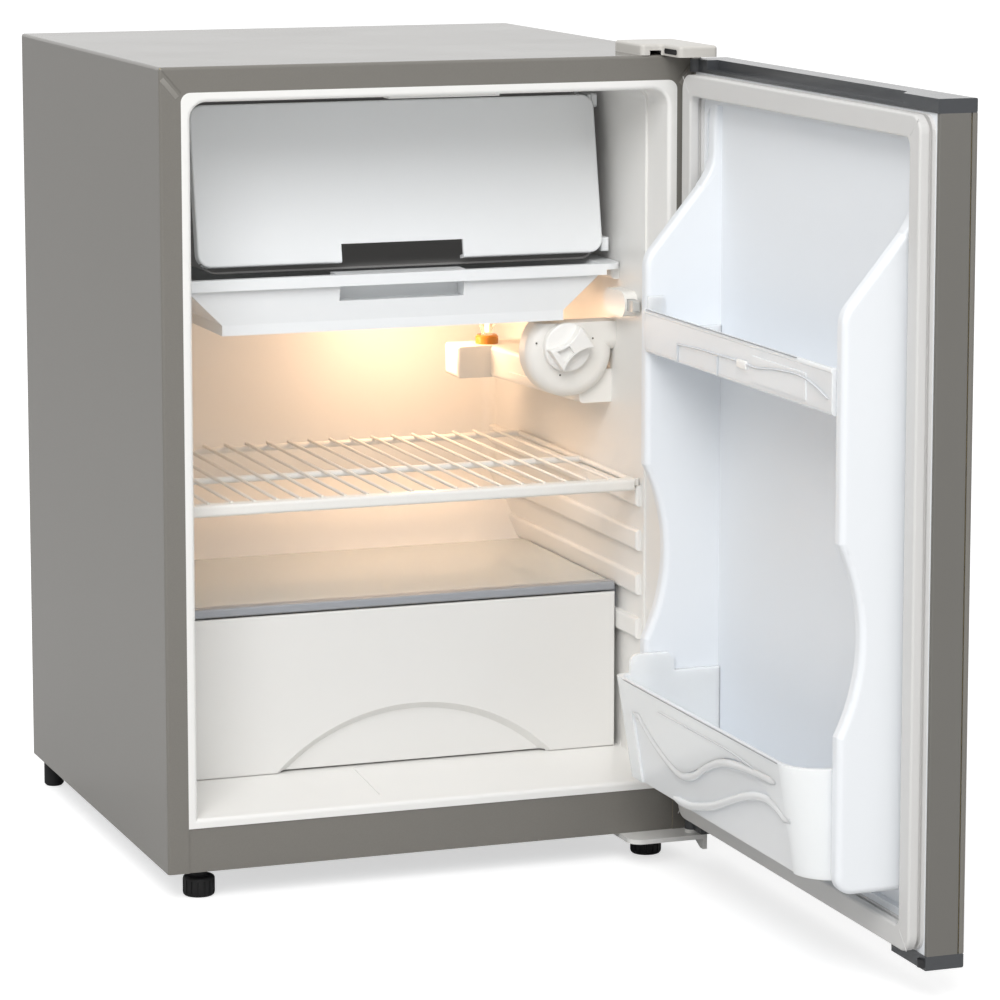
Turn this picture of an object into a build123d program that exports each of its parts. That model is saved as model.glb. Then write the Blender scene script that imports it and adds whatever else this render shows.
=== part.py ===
from build123d import *
import math
import os

# A compact refrigerator, shown with its door open at a right angle. Millimetres, +Z up.
# Each piece is made with X from the middle of the cabinet, Y from the cabinet's front plane
# (the front faces -Y) and Z from the floor. The door is made closed and then swung open.

# Cabinet
cabinet_width = 470.0
cabinet_depth = 466.0
cabinet_height = 670.0
foot_height = 25.5
sheet = 0.8
fold_radius = 2.5
flange_side = 18.0
flange_top = 21.0
flange_bottom = 37.6
rail_return = 14.0
mitre_slit = 0.8
mitre_share = 0.7
opening_round = 8.0
rail_setback = 1.0
fit_gap = 0.3

# Inner liner
liner_wall = 2.0
rim_width = 8.0
rim_depth = 6.0
rim_round = 3.5
joggle_depth = 46.0
joggle_step = 2.0
liner_corner = 14.0
back_insulation = 36.0
floor_rise = 8.0
floor_ramp = 95.0
hump_depth = 130.0
hump_edge_z = 192.0
hump_back_z = 276.0
rib_count = 4
rib_pitch = 39.0
rib_height = 18.0
rib_depth = 4.5
rib_front = 52.0
rib_round = 3.0
first_rib_top = 202.0
runner_height = 1.5
runner_width = 10.0
runner_place = 150.0
runner_gap = 8.0
seam_place = -43.0
seam_width = 1.2
seam_depth = 0.8
ceiling_tab_place = 20.0
ceiling_tab_width = 98.0
ceiling_tab_depth = 14.0
ceiling_tab_drop = 4.0

# Compressor bay
bay_depth = 131.0
bay_edge_z = 185.0
bay_back_z = 262.0

# Evaporator and freezer flap
evaporator_gap_left = 39.0
evaporator_gap_right = 17.0
evaporator_gap_back = 25.0
evaporator_lift = 7.0
evaporator_wall = 1.6
hanger_radius = 8.0
hanger_height = 11.5
hanger_gap_front = 60.0
hanger_gap_back = 45.0
flap_overlap = 4.0
flap_tilt = 10.8
flap_pivot_y = 147.0
flap_pivot_drop = 8.0
flap_above = 4.0
flap_foot_gap = 2.0
flap_front = 12.0
flap_back = 2.0
flap_wall = 3.0
flap_pin_radius = 3.0
flap_bracket = 5.0
notch_left = -45.0
notch_right = 65.0
notch_height = 16.0
catch_size = 12.0

# Drip tray
tray_clear = 1.0
tray_front = 92.0
tray_gap_back = 32.0
tray_rest_z = 504.0
tray_lip = 5.0
tray_band = 9.5
tray_depth = 44.0
tray_skirt = 9.0
tray_draft = 12.0
tray_lip_side = 16.0
tray_flare = 36.0
tray_wall = 2.0
tray_grip_width = 112.0
tray_grip_place = 5.0
tray_grip_height = 18.0
tray_grip_depth = 20.0
tray_rail_height = 10.0
tray_rail_depth = 7.0

# Thermostat, lamp and door switch
control_front = 112.0
control_offset = 42.0
control_drop = 74.0
control_radius = 40.0
control_gap_top = 4.0
control_depth = 24.0
control_round = 11.0
control_arm_width = 49.0
control_arm_slant = 20.0
control_arm_low = 47.0
strip_height = 5.0
strip_rise = 1.5
strip_inset = 40.0
lamp_box_width = 81.0
lamp_box_front = 300.0
lamp_box_length = 36.0
lamp_box_height = 29.0
lamp_box_round = 4.0
lamp_offset = 46.0
lamp_radius = 9.0
lamp_height = 27.0
lamp_holder_height = 8.0
knob_shift = 5.5
knob_radius = 21.5
knob_disc = 7.0
knob_grip = 10.0
spindle_radius = 3.0
running_gap = 0.06
switch_front = 62.0
switch_length = 50.0
switch_height = 22.0
switch_width = 12.0
switch_drop = 28.0
switch_button = 13.0
switch_button_width = 7.0
switch_button_height = 10.0

# Wire shelf
shelf_front = 50.5
shelf_gap_back = 78.0
shelf_rail_height = 10.0
shelf_rail_depth = 8.0
shelf_rail_drop = 1.5
shelf_side_radius = 2.5
shelf_bar_radius = 3.0
shelf_wire_radius = 1.4
shelf_wire_margin = 27.0
shelf_wire_count = 19
shelf_bar_place = 139.5

# Glass shelf and crisper
glass_clear = 6.5
glass_thickness = 5.0
glass_rest = 18.4
glass_front = 104.0
glass_over_hump = 28.0
trim_depth = 13.0
trim_height = 7.6
glass_rail_width = 13.2
crisper_clear = 6.0
crisper_overhang = 4.0
crisper_front = 97.0
crisper_gap_back = 8.0
crisper_gap_top = 2.7
crisper_body_gap = 3.0
crisper_wall = 2.5
crisper_panel = 3.5
arch_place = 15.0
arch_half = 118.0
arch_rise = 47.0
arch_depth = 6.5
arch_flare = 7.0

# Door
door_thickness = 32.0
door_gap = 14.0
door_clear_top = 2.5
door_clear_bottom = 3.0
skin_return = 5.0
strip_groove = 0.6
strip_thickness = 4.0
cap_height = 11.0
groove_width = 10.0
groove_depth = 8.0
groove_from_hinge = 30.0
groove_from_free = 59.0
groove_slant = 16.0
door_liner_thickness = 8.0
door_recess = 6.0
door_recess_margin = 25.0
gasket_width = 18.0
gasket_clear = 0.5
gasket_inset = 1.5
bellows = 3.0
dyke_margin = 28.0
dyke_thickness = 15.0
dyke_reach = 47.0
dyke_drop = 82.0
dyke_slope = 77.0
dyke_bottom = 84.0
scoop_top = 356.0
scoop_bottom = 207.0
scoop_depth = 18.0
dyke_round = 5.0
ledge_depth = 4.0
ledge_height = 6.0
bin_clear = 0.5
bin_wall = 2.2
upper_bin_bottom = 452.0
upper_bin_height = 37.0
bin_tab_height = 10.0
bin_tab_width = 20.0
upper_bin_reach = 49.0
lower_bin_bottom = 92.0
lower_bin_height = 88.0
lower_bin_reach_top = 76.0
lower_bin_reach_bottom = 62.0
lower_bin_corner = 32.0
lower_bin_front_wall = 4.6
wave_relief = 2.2
lower_bin_ear = 16.0
lower_bin_ear_width = 40.0

# Hinges and feet
axis_inset = 6.0
pin_radius = 3.5
bush_wall = 1.2
boss_radius = 6.0
hinge_plate = 3.0
hinge_plate_width = 28.0
hinge_plate_back = 58.0
cover_width = 51.0
cover_arm_width = 32.0
cover_arm_front = 38.0
cover_slot_width = 22.0
cover_slot_height = 4.0
cover_overhang = 3.0
cover_back = 62.0
cover_height = 9.5
cover_wall = 2.0
lower_plate = 4.0
lower_plate_width = 67.0
lower_plate_front = 27.0
lower_plate_back = 40.0
tab_drop = 13.0
screw_radius = 4.0
screw_head = 2.4
foot_inset = 33.0
foot_place_y = 25.0
foot_radius = 13.5
foot_disc = 17.0
neck_radius = 7.0
stud_radius = 4.0
stud_length = 12.0
rear_foot_radius = 9.0
rear_foot_inset = 13.0
rear_foot_gap = 24.0

# Refrigeration unit
bar_thickness = 2.5
bar_depth = 106.0
bar_gap_back = 8.0
grommet_radius = 10.0
grommet_height = 12.0
compressor_x = -50.0
compressor_gap_back = 62.0
compressor_radius = 50.0
compressor_height = 116.0
compressor_dome = 26.0
relay_width = 40.0
relay_depth = 52.0
relay_height = 58.0
gland_radius = 5.0
pan_half = 62.0
pan_height = 18.0
pan_wall = 1.8
condenser_gap = 14.0
tube_radius = 2.4
tube_margin = 47.0
tube_pitch = 34.0
tube_passes = 11
tube_drop = 47.5
wire_thick = 1.6
wire_count = 26
drier_radius = 9.0
drier_length = 62.0
drier_offset = 16.0
drier_drop = 30.0
outlet_drop = 26.0
outlet_reach = 60.0
riser_gap = 24.0
suction_reach = 50.0

# Places that follow from the sizes above
half = cabinet_width / 2
cabinet_bottom = foot_height
cabinet_top = foot_height + cabinet_height
opening_half = half - flange_side
opening_bottom = cabinet_bottom + flange_bottom
opening_top = cabinet_top - flange_top
front_half = opening_half - rim_width
space_half = front_half - joggle_step
space_bottom = opening_bottom + rim_width
space_top = opening_top - rim_width
floor_z = space_bottom + floor_rise
space_depth = cabinet_depth - back_insulation
hump_front = space_depth - hump_depth
bay_front = cabinet_depth - bay_depth
evaporator_left = evaporator_gap_left - space_half
evaporator_right = space_half - evaporator_gap_right
evaporator_bottom = tray_rest_z + evaporator_lift
evaporator_top = space_top - hanger_height
evaporator_back = space_depth - evaporator_gap_back
flap_pivot_z = evaporator_top - flap_pivot_drop
flap_below = flap_pivot_z - evaporator_bottom - flap_foot_gap
tray_half = space_half - tray_clear
tray_top_half = tray_half - tray_lip_side
tray_bottom_half = tray_top_half - tray_flare
tray_back = space_depth - tray_gap_back
control_place_x = space_half - control_offset
control_place_z = tray_rest_z - control_drop
control_top = tray_rest_z - tray_depth - control_gap_top
control_arm_left = space_half - control_arm_width
control_arm_bottom = control_place_z - control_arm_low
lamp_box_left = space_half - lamp_box_width
lamp_box_top = control_arm_bottom + lamp_box_height
lamp_place_x = space_half - lamp_offset
lamp_place_y = lamp_box_front + lamp_box_length / 2
knob_place_x = control_place_x - knob_shift
knob_place_z = control_place_z + knob_shift
switch_z = tray_rest_z - switch_drop
shelf_rib_top = first_rib_top + (rib_count - 1) * rib_pitch
shelf_back = space_depth - shelf_gap_back
shelf_middle = shelf_front + shelf_bar_place
shelf_wire_pitch = 2 * (space_half - shelf_wire_margin) / (shelf_wire_count - 1)
glass_half = space_half - glass_clear
glass_back = hump_front + glass_over_hump
glass_z = first_rib_top + fit_gap + glass_rest
crisper_half = space_half - crisper_clear
crisper_body_half = crisper_half - crisper_overhang
crisper_back = hump_front - crisper_gap_back
crisper_bottom = floor_z + runner_height + fit_gap
crisper_foot = floor_z + fit_gap
crisper_top = glass_z - crisper_gap_top
crisper_body_top = first_rib_top - crisper_body_gap
axis_x = half - axis_inset
axis_y = -door_gap
door_front = -door_gap - door_thickness
door_bottom = cabinet_bottom + door_clear_bottom
door_top = cabinet_top - door_clear_top
skin_bottom = door_bottom + cap_height
skin_top = door_top - cap_height
liner_half = half - strip_thickness
recess_floor = axis_y - door_recess
groove_start = half - groove_from_hinge
groove_end = groove_from_free - half
dyke_outer = liner_half - dyke_margin
dyke_inner = dyke_outer - dyke_thickness
dyke_top = skin_top - dyke_drop
dyke_shoulder = dyke_top - dyke_slope
cover_left = half - cover_width
cover_arm_left = half - cover_arm_width
lower_plate_left = half - lower_plate_width
foot_place_x = half - foot_inset
rear_foot_x = half - rear_foot_inset
rear_foot_y = cabinet_depth - rear_foot_gap
bar_back = cabinet_depth - bar_gap_back
bar_front = bar_back - bar_depth
compressor_y = cabinet_depth - compressor_gap_back
condenser_y = cabinet_depth + condenser_gap
tube_half = half - tube_margin
tube_top = cabinet_top - tube_drop
riser_x = -tube_half - riser_gap
beyond = 2 * cabinet_top
door_axis = Axis((axis_x, axis_y, 0), (0, 0, 1))


def block(x0, x1, y0, y1, z0, z1):
    """A box between two corners."""
    return Pos((x0 + x1) / 2, (y0 + y1) / 2, (z0 + z1) / 2) * Box(x1 - x0, y1 - y0, z1 - z0)


def along_y(outline, y0, y1):
    """An outline drawn in X and Z, drawn out from y0 to y1."""
    return extrude(Plane.XZ.offset(-y1) * outline, y1 - y0)


def along_x(points, x0, x1):
    """A polygon of (y, z) points, drawn out from x0 to x1."""
    return extrude(Plane.YZ.offset(x0) * make_face(Polyline(*points, close=True)), x1 - x0)


def rounded(x0, x1, z0, z1, y0, y1, radius):
    """A block with its four edges along Y rounded."""
    outline = Pos((x0 + x1) / 2, (z0 + z1) / 2) * RectangleRounded(x1 - x0, z1 - z0, radius)
    return along_y(outline, y0, y1)


def post(x, y, z0, z1, radius):
    """An upright round post."""
    return Pos(x, y, (z0 + z1) / 2) * Cylinder(radius, z1 - z0)


def bar_x(x0, x1, y, z, radius):
    """A round bar along X."""
    return Pos((x0 + x1) / 2, y, z) * Rot(0, 90, 0) * Cylinder(radius, x1 - x0)


def bar_y(x, y0, y1, z, radius):
    """A round bar along Y."""
    return Pos(x, (y0 + y1) / 2, z) * Rot(90, 0, 0) * Cylinder(radius, y1 - y0)


def tube(points, radius, bend):
    """A round tube along straight runs joined by arcs."""
    path = FilletPolyline(*points, radius=bend)
    return sweep(Plane(path @ 0, z_dir=path % 0) * Circle(radius), path=path)


def swung(piece):
    """The door's pieces, swung open as they stand at rest."""
    return piece.rotate(door_axis, 90)


def wrapper_shell():
    """Steel top and sides in one sheet, with folded flanges round the opening, mitred at the corners."""
    shell = block(-half, half, 0, cabinet_depth, cabinet_bottom, cabinet_top)
    front_edges = shell.faces().sort_by(Axis.Y)[0].edges().sort_by(Axis.Z)[1:]
    top_edges = shell.faces().sort_by(Axis.Z)[-1].edges().filter_by(Axis.Y)
    shell = fillet(front_edges + top_edges, fold_radius)
    inside = half - sheet
    shell -= block(-inside, inside, sheet, beyond, -beyond, cabinet_top - sheet)
    shell -= rounded(-opening_half, opening_half, -beyond, opening_top, -1, sheet, opening_round)
    for side in (-1, 1):
        shell -= mitre(side)
    return shell


def mitre(side):
    """The groove where the side flange meets the top flange."""
    lean = math.hypot(flange_side, flange_top)
    inner = (side * opening_half, opening_top)
    outer = (side * (half - fold_radius), cabinet_top - fold_radius * flange_top / flange_side)
    dx, dz = mitre_slit * flange_top / lean / 2, mitre_slit * flange_side / lean / 2
    corners = [(inner[0] - dx, inner[1] + side * dz), (inner[0] + dx, inner[1] - side * dz),
               (outer[0] + dx, outer[1] - side * dz), (outer[0] - dx, outer[1] + side * dz)]
    return along_y(make_face(Polyline(*corners, close=True)), -sheet, sheet * mitre_share)


def rail_room():
    """The room in the foam's face that the flange below the opening takes up."""
    return block(-opening_half, opening_half, 0, rail_setback + sheet, cabinet_bottom, opening_bottom)


def front_bottom_rail():
    """The flange below the opening, set back a little, with its lower edge folded under the cabinet."""
    front = rail_setback
    rail = block(-opening_half, opening_half, front, front + sheet, cabinet_bottom, opening_bottom)
    fold_top = cabinet_bottom + sheet
    return rail + block(-opening_half, opening_half, front, rail_return, cabinet_bottom, fold_top)


def slope_line(y, front, edge_z, back, back_z, lift):
    """Height at y of a sloped sheet, lifted square to itself."""
    slope = (back_z - edge_z) / (back - front)
    return edge_z + (y - front) * slope + lift * math.hypot(1, slope)


def hump(shrink):
    """The raised rear floor over the compressor bay, as it meets the liner, less a wall."""
    def top(y):
        return slope_line(y, hump_front, hump_edge_z, space_depth, hump_back_z, -shrink)
    front, back = hump_front + shrink, cabinet_depth
    points = [(front, 0), (front, top(front)), (back, top(back)), (back, 0)]
    return along_x(points, -half, half)


def bay(grow):
    """The open compressor bay at the lower rear, grown by a sheet."""
    def top(y):
        return slope_line(y, bay_front, bay_edge_z, cabinet_depth, bay_back_z, grow)
    front, back = bay_front - grow, cabinet_depth + door_thickness
    points = [(front, 0), (front, top(front)), (back, top(back)), (back, 0)]
    return along_x(points, -half, half)


def base_deck():
    """The sheet under the foam, which steps up over the compressor bay."""
    inside = half - sheet
    plate = block(-inside, inside, rail_return, cabinet_depth, cabinet_bottom, cabinet_bottom + sheet)
    frame = block(-inside, inside, rail_return, cabinet_depth, cabinet_bottom, cabinet_top)
    deck = plate + bay(sheet) & frame
    deck -= bay(0)
    for side in (-1, 1):
        deck -= post(side * foot_place_x, foot_place_y, 0, cabinet_top, stud_radius + fit_gap)
    return deck


def back_panel():
    """The sheet that closes the foam at the back, above the bay."""
    inside = half - sheet
    panel = block(-inside, inside, cabinet_depth - sheet, cabinet_depth, cabinet_bottom, cabinet_top - sheet)
    return panel - bay(sheet)


def liner_space(grow):
    """The room inside the liner, grown by its wall."""
    front = rounded(-front_half - grow, front_half + grow, space_bottom - grow, space_top + grow,
                    0, joggle_depth + grow, liner_corner + grow)
    main = rounded(-space_half - grow, space_half + grow, space_bottom - grow, space_top + grow,
                   0, space_depth + grow, liner_corner + grow)
    main = fillet(main.faces().sort_by(Axis.Y)[-1].edges(), liner_corner + grow - 1)
    step = block(-front_half - grow, front_half + grow, 0, joggle_depth + grow,
                 space_bottom - grow, space_bottom + 2 * liner_corner)
    floor = block(-space_half - grow, space_half + grow, 0, crisper_front + grow,
                  space_bottom - grow, space_bottom + 2 * liner_corner)
    return front + main + step + floor - hump(grow)


def liner_outside():
    """The liner's outer shape, with the rim that fills the steel opening."""
    rim = rounded(-opening_half, opening_half, opening_bottom, opening_top, 0, rim_depth, opening_round)
    square_to = opening_bottom + 2 * opening_round
    rim += block(-opening_half, opening_half, 0, rim_depth, opening_bottom, square_to)
    return liner_space(liner_wall) + rim


def side_rib(side, z_top, height, depth, front):
    """A moulded runner along a side wall."""
    reach = space_half - depth
    rib = block(reach, half, front, space_depth, z_top - height, z_top)
    rib = fillet(rib.faces().sort_by(Axis.X)[0].edges(), min(rib_round, depth * 0.6))
    return rib if side > 0 else mirror(rib, Plane.YZ)


def inner_liner():
    """White moulded inside: rim, shelf ribs, tray rails, sloped floor and hump."""
    outside = liner_outside()
    liner = outside - liner_space(0)
    rim_edges = liner.faces().sort_by(Axis.Y)[0].inner_wires()[0].edges()
    liner = fillet(rim_edges, rim_round)
    additions = []
    for side in (-1, 1):
        additions += [side_rib(side, first_rib_top + i * rib_pitch, rib_height, rib_depth, rib_front)
                      for i in range(rib_count)]
        additions.append(side_rib(side, tray_rest_z - fit_gap, tray_rail_height, tray_rail_depth,
                                  tray_front + liner_corner))
        centre = side * runner_place
        runner_front = crisper_front + crisper_panel + runner_gap
        additions.append(block(centre - runner_width / 2, centre + runner_width / 2, runner_front,
                               hump_front + 1, space_bottom - 1, floor_z + runner_height))
    ramp = [(rim_depth + 2, space_bottom), (floor_ramp, floor_z), (hump_front + 1, floor_z),
            (hump_front + 1, space_bottom - 1), (rim_depth + 2, space_bottom - 1)]
    additions.append(along_x(ramp, -space_half, space_half))
    tab = block(ceiling_tab_place - ceiling_tab_width / 2, ceiling_tab_place + ceiling_tab_width / 2,
                joggle_depth - ceiling_tab_depth, joggle_depth, space_top - ceiling_tab_drop, space_top + 1)
    additions.append(tab)
    for piece in additions:
        liner += piece & outside
    return liner - floor_seam()


def floor_seam():
    """The fine moulding line that runs down the sloped front of the floor."""
    start = floor_ramp / 4
    rise = floor_rise * (start - rim_depth - 2) / (floor_ramp - rim_depth - 2)
    points = [(start, space_bottom + rise - seam_depth), (floor_ramp, floor_z - seam_depth),
              (floor_ramp, floor_z + 1), (start, floor_z + 1)]
    return along_x(points, seam_place, seam_place + seam_width)


def foam_insulation():
    """Insulating foam between the steel and the liner."""
    inside = half - sheet
    foam = block(-inside, inside, sheet, cabinet_depth - sheet, cabinet_bottom + sheet, cabinet_top - sheet)
    foam -= liner_outside() + bay(sheet) + rail_room()
    for side in (-1, 1):
        foam -= post(side * foot_place_x, foot_place_y, 0, cabinet_bottom + stud_length + 2, stud_radius + 1)
    return foam


def flap_frame(piece):
    """Places a piece made about the flap's pivot, with the flap hanging straight, at its real tilt."""
    return Pos(0, flap_pivot_y, flap_pivot_z) * Rot(-flap_tilt, 0, 0) * piece


def evaporator_box():
    """Open-fronted freezer box of dark coated sheet; its front edge leans with the flap."""
    box = block(evaporator_left, evaporator_right, 0, evaporator_back, evaporator_bottom, evaporator_top)
    box = fillet(box.edges().filter_by(Axis.Y), liner_corner)
    wall = evaporator_wall
    room = block(evaporator_left + wall, evaporator_right - wall, -1, evaporator_back - wall,
                 evaporator_bottom + wall, evaporator_top - wall)
    box -= fillet(room.edges().filter_by(Axis.Y), liner_corner - wall)
    box -= flap_frame(block(-half, half, -beyond, fit_gap - flap_back, -beyond, beyond))
    return box - flap_frame(block(-half, half, -beyond, flap_above + flap_back, -2 * flap_above, beyond))


def evaporator_hangers():
    """Four spacers that hang the freezer box from the liner's ceiling."""
    middle = (evaporator_left + evaporator_right) / 2
    reach = (evaporator_right - evaporator_left) / 3
    return [post(middle + side * reach, y, evaporator_top, space_top, hanger_radius)
            for side in (-1, 1) for y in (flap_pivot_y + hanger_gap_front, evaporator_back - hanger_gap_back)]


def freezer_flap():
    """Top-hung pan-shaped freezer flap with a finger notch, ears and pivot pins."""
    left, right = evaporator_left - flap_overlap, evaporator_right + flap_overlap
    outline = block(left, right, -flap_front, -flap_back, -flap_below, flap_above)
    upright = outline.edges().filter_by(Axis.Y)
    outline = fillet(upright, flap_front)
    pan = fillet(outline.faces().sort_by(Axis.Y)[0].edges(), flap_wall * 0.6)
    pan -= block(left + flap_wall, right - flap_wall, flap_wall - flap_front, 0,
                 flap_wall - flap_below, flap_above - flap_wall)
    notch = block(notch_left, notch_right, -flap_front - 1, 0, -flap_below - 1, notch_height - flap_below)
    pan -= notch
    ears_and_pins = []
    for x0, x1 in ((left, left + flap_wall), (right - flap_wall, right)):
        ear = block(x0, x1, -flap_front / 2, flap_above, -2 * flap_above, flap_above)
        ear_edges = ear.faces().sort_by(Axis.Y)[-1].edges().filter_by(Axis.X)
        ears_and_pins.append(fillet(ear_edges, flap_above - 0.5))
    ears_and_pins.append(bar_x(left - flap_bracket, left + 1, 0, 0, flap_pin_radius))
    ears_and_pins.append(bar_x(right - 1, right + flap_bracket, 0, 0, flap_pin_radius))
    for piece in ears_and_pins:
        pan += piece
    return flap_frame(pan)


def flap_brackets():
    """The two ears on the freezer box that carry the flap's pins."""
    brackets = []
    tail = flap_pivot_y + 2 * flap_front
    for side, box_side in ((-1, evaporator_left), (1, evaporator_right)):
        inner = abs(box_side) + flap_overlap + fit_gap
        outer = inner + flap_bracket
        plate = block(inner, outer, flap_pivot_y - 2 * flap_pin_radius, tail + flap_front,
                      flap_pivot_z - 2 * flap_pin_radius, flap_pivot_z + 2 * flap_pin_radius)
        plate = fillet(plate.faces().sort_by(Axis.Y)[0].edges().filter_by(Axis.X), flap_pin_radius)
        plate -= bar_x(inner - 1, outer + 1, flap_pivot_y, flap_pivot_z, flap_pin_radius + fit_gap)
        plate += block(abs(box_side), inner, tail, tail + flap_front,
                       flap_pivot_z - 2 * flap_pin_radius, flap_pivot_z + 2 * flap_pin_radius)
        brackets.append(plate if side > 0 else mirror(plate, Plane.YZ))
    return brackets


def flap_catch():
    """The small catch beside the flap's lower right corner."""
    y = flap_pivot_y - (flap_below - catch_size) * math.sin(math.radians(flap_tilt)) - flap_front / 2
    z = evaporator_bottom + catch_size
    start = evaporator_right + flap_overlap + 4 * fit_gap
    lug = block(start, start + catch_size * 0.6, y, y + 4 * catch_size,
                z - catch_size / 2, z + catch_size / 2)
    lug = fillet(lug.faces().sort_by(Axis.Y)[0].edges(), 1.5)
    return lug + block(evaporator_right, start + 1, y + 3 * catch_size, y + 4 * catch_size,
                       z - catch_size / 2, z + catch_size / 2)


def tray_basin(inset, floor_lift, extra_top):
    """The basin of the drip tray, flared above a short upright skirt, made smaller by a wall."""
    middle = (tray_front + tray_back) / 2
    length = tray_back - tray_front - 2 * tray_lip - 2 * inset
    bottom = tray_rest_z - tray_depth
    low = Rectangle(2 * (tray_bottom_half - inset), length - tray_draft)
    top = Pos(0, middle, tray_rest_z + extra_top) * Rectangle(2 * (tray_top_half - inset), length)
    flare = loft([Pos(0, middle, bottom + tray_skirt) * low, top])
    return flare + extrude(Pos(0, middle, bottom + floor_lift) * low, tray_skirt - floor_lift)


def drip_tray():
    """Drip tray: a lip that rides on the rails, a deeper front band, a tapered basin and a grip recess."""
    lip = block(-tray_half, tray_half, tray_front, tray_back, tray_rest_z, tray_rest_z + tray_lip)
    lip = fillet(lip.edges().filter_by(Axis.Z).group_by(Axis.Y)[0], 3 * tray_lip)
    band = block(-tray_top_half, tray_top_half, tray_front, tray_front + tray_wall + 1,
                 tray_rest_z + tray_lip - tray_band, tray_rest_z + tray_lip)
    tray = lip + band + tray_basin(0, 0, 0)
    back_of_apron = tray_front + tray_lip
    left, right = tray_grip_place - tray_grip_width / 2, tray_grip_place + tray_grip_width / 2
    grip = block(left, right, tray_front + tray_wall + 1, back_of_apron + tray_grip_depth,
                 tray_rest_z - tray_grip_height, tray_rest_z)
    pad = block(left - tray_wall, right + tray_wall,
                back_of_apron, back_of_apron + tray_grip_depth + tray_wall,
                tray_rest_z - tray_grip_height - tray_wall, tray_rest_z + tray_lip)
    tray -= tray_basin(tray_wall, tray_wall, tray_lip + 1) - pad
    return tray - grip


def control_arm(rise, start, low, high):
    """The arm along the right wall, which widens towards the lamp box, drawn thicker by a rise."""
    end = lamp_box_front + 1
    share = (start - control_front) / (end - control_front)
    left = control_arm_left - rise
    plan = Polyline((left + control_arm_slant * (1 - share), start), (space_half, start), (space_half, end),
                    (left, end), close=True)
    return extrude(Pos(0, 0, low) * make_face(plan), high - low)


def thermostat_housing():
    """Moulded control housing on the right wall: soft round front, arm with a strip, and lamp box."""
    outline = Pos(control_place_x, control_place_z) * Circle(control_radius)
    corner = Pos(space_half, control_place_z + control_radius)
    outline += corner * Rectangle(2 * control_offset, 2 * control_radius)
    front = along_y(outline, control_front, control_front + control_depth)
    front = fillet(front.faces().sort_by(Axis.Y)[0].edges(), control_round)
    arm = control_arm(0, control_front + control_round, control_arm_bottom, lamp_box_top)
    arm = fillet(arm.faces().sort_by(Axis.X)[0].edges().filter_by(Axis.Z, reverse=True), lamp_box_round)
    strip = control_arm(strip_rise, control_front + strip_inset, control_arm_bottom + strip_height,
                        control_arm_bottom + 2 * strip_height)
    strip &= block(0, space_half, 0, lamp_box_front - strip_inset, 0, beyond)
    lamp_box = block(lamp_box_left, space_half, lamp_box_front, lamp_box_front + lamp_box_length,
                     control_arm_bottom, lamp_box_top)
    lamp_box = fillet(lamp_box.faces().sort_by(Axis.X)[0].edges(), lamp_box_round)
    housing = (front + arm + strip + lamp_box) & block(0, space_half, 0, beyond, 0, control_top)
    bore = bar_y(knob_place_x, control_front - 1, control_front + control_depth / 2, knob_place_z,
                 spindle_radius + running_gap)
    return housing - bore


def thermostat_knob():
    """Turning knob: a chamfered disc, a waisted grip across it and its spindle."""
    face = control_front - fit_gap
    disc = bar_y(knob_place_x, face - knob_disc, face, knob_place_z, knob_radius)
    disc = chamfer(disc.faces().sort_by(Axis.Y)[0].edges(), 2)
    grip_front = face - knob_disc - knob_grip
    long_way = 2 * knob_radius - 8
    centre = Pos(knob_place_x, knob_place_z)
    waist = knob_radius * 0.62
    shape = centre * Rot(0, 0, 35) * RectangleRounded(long_way, 2 * waist, 5)
    for side in (-1, 1):
        shape -= centre * Rot(0, 0, 35) * Pos(0, side * knob_radius) * Circle(waist)
    grip = along_y(shape, grip_front, face - knob_disc + 1)
    grip = chamfer(grip.faces().sort_by(Axis.Y)[0].edges(), 1.2)
    spindle = bar_y(knob_place_x, face - 1, control_front + control_depth / 3, knob_place_z, spindle_radius)
    return disc + grip + spindle


def lamp_holder():
    """The collar that the lamp screws into."""
    holder = post(lamp_place_x, lamp_place_y, lamp_box_top, lamp_box_top + lamp_holder_height,
                  lamp_radius + 1.5)
    return chamfer(holder.faces().sort_by(Axis.Z)[-1].edges(), 1.5)


def lamp_bulb():
    """A small appliance bulb."""
    low = lamp_box_top + lamp_holder_height
    bulb = post(lamp_place_x, lamp_place_y, low, low + lamp_height, lamp_radius)
    bulb = fillet(bulb.faces().sort_by(Axis.Z)[-1].edges(), lamp_radius * 0.95)
    return fillet(bulb.faces().sort_by(Axis.Z)[0].edges(), lamp_radius * 0.35)


def switch_box(width, height, y0, y1):
    """A block centred on the door switch."""
    x = space_half - switch_width / 2
    return block(x - width / 2, x + width / 2, y0, y1, switch_z - height / 2, switch_z + height / 2)


def door_switch_body():
    """The switch housing on the right wall, with the pocket its button slides in."""
    body = switch_box(switch_width, switch_height, switch_front, switch_front + switch_length)
    body = fillet(body.edges().filter_by(Axis.X), switch_height * 0.45)
    pocket = switch_box(switch_button_width + 2 * fit_gap, switch_button_height + 2 * fit_gap,
                        switch_front - 1, switch_front + 2 * switch_button)
    return body - pocket


def door_switch_button():
    """The button that the closing door pushes."""
    button = switch_box(switch_button_width, switch_button_height,
                        switch_front - switch_button, switch_front + switch_button)
    return fillet(button.faces().sort_by(Axis.Y)[0].edges(), 2)


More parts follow.
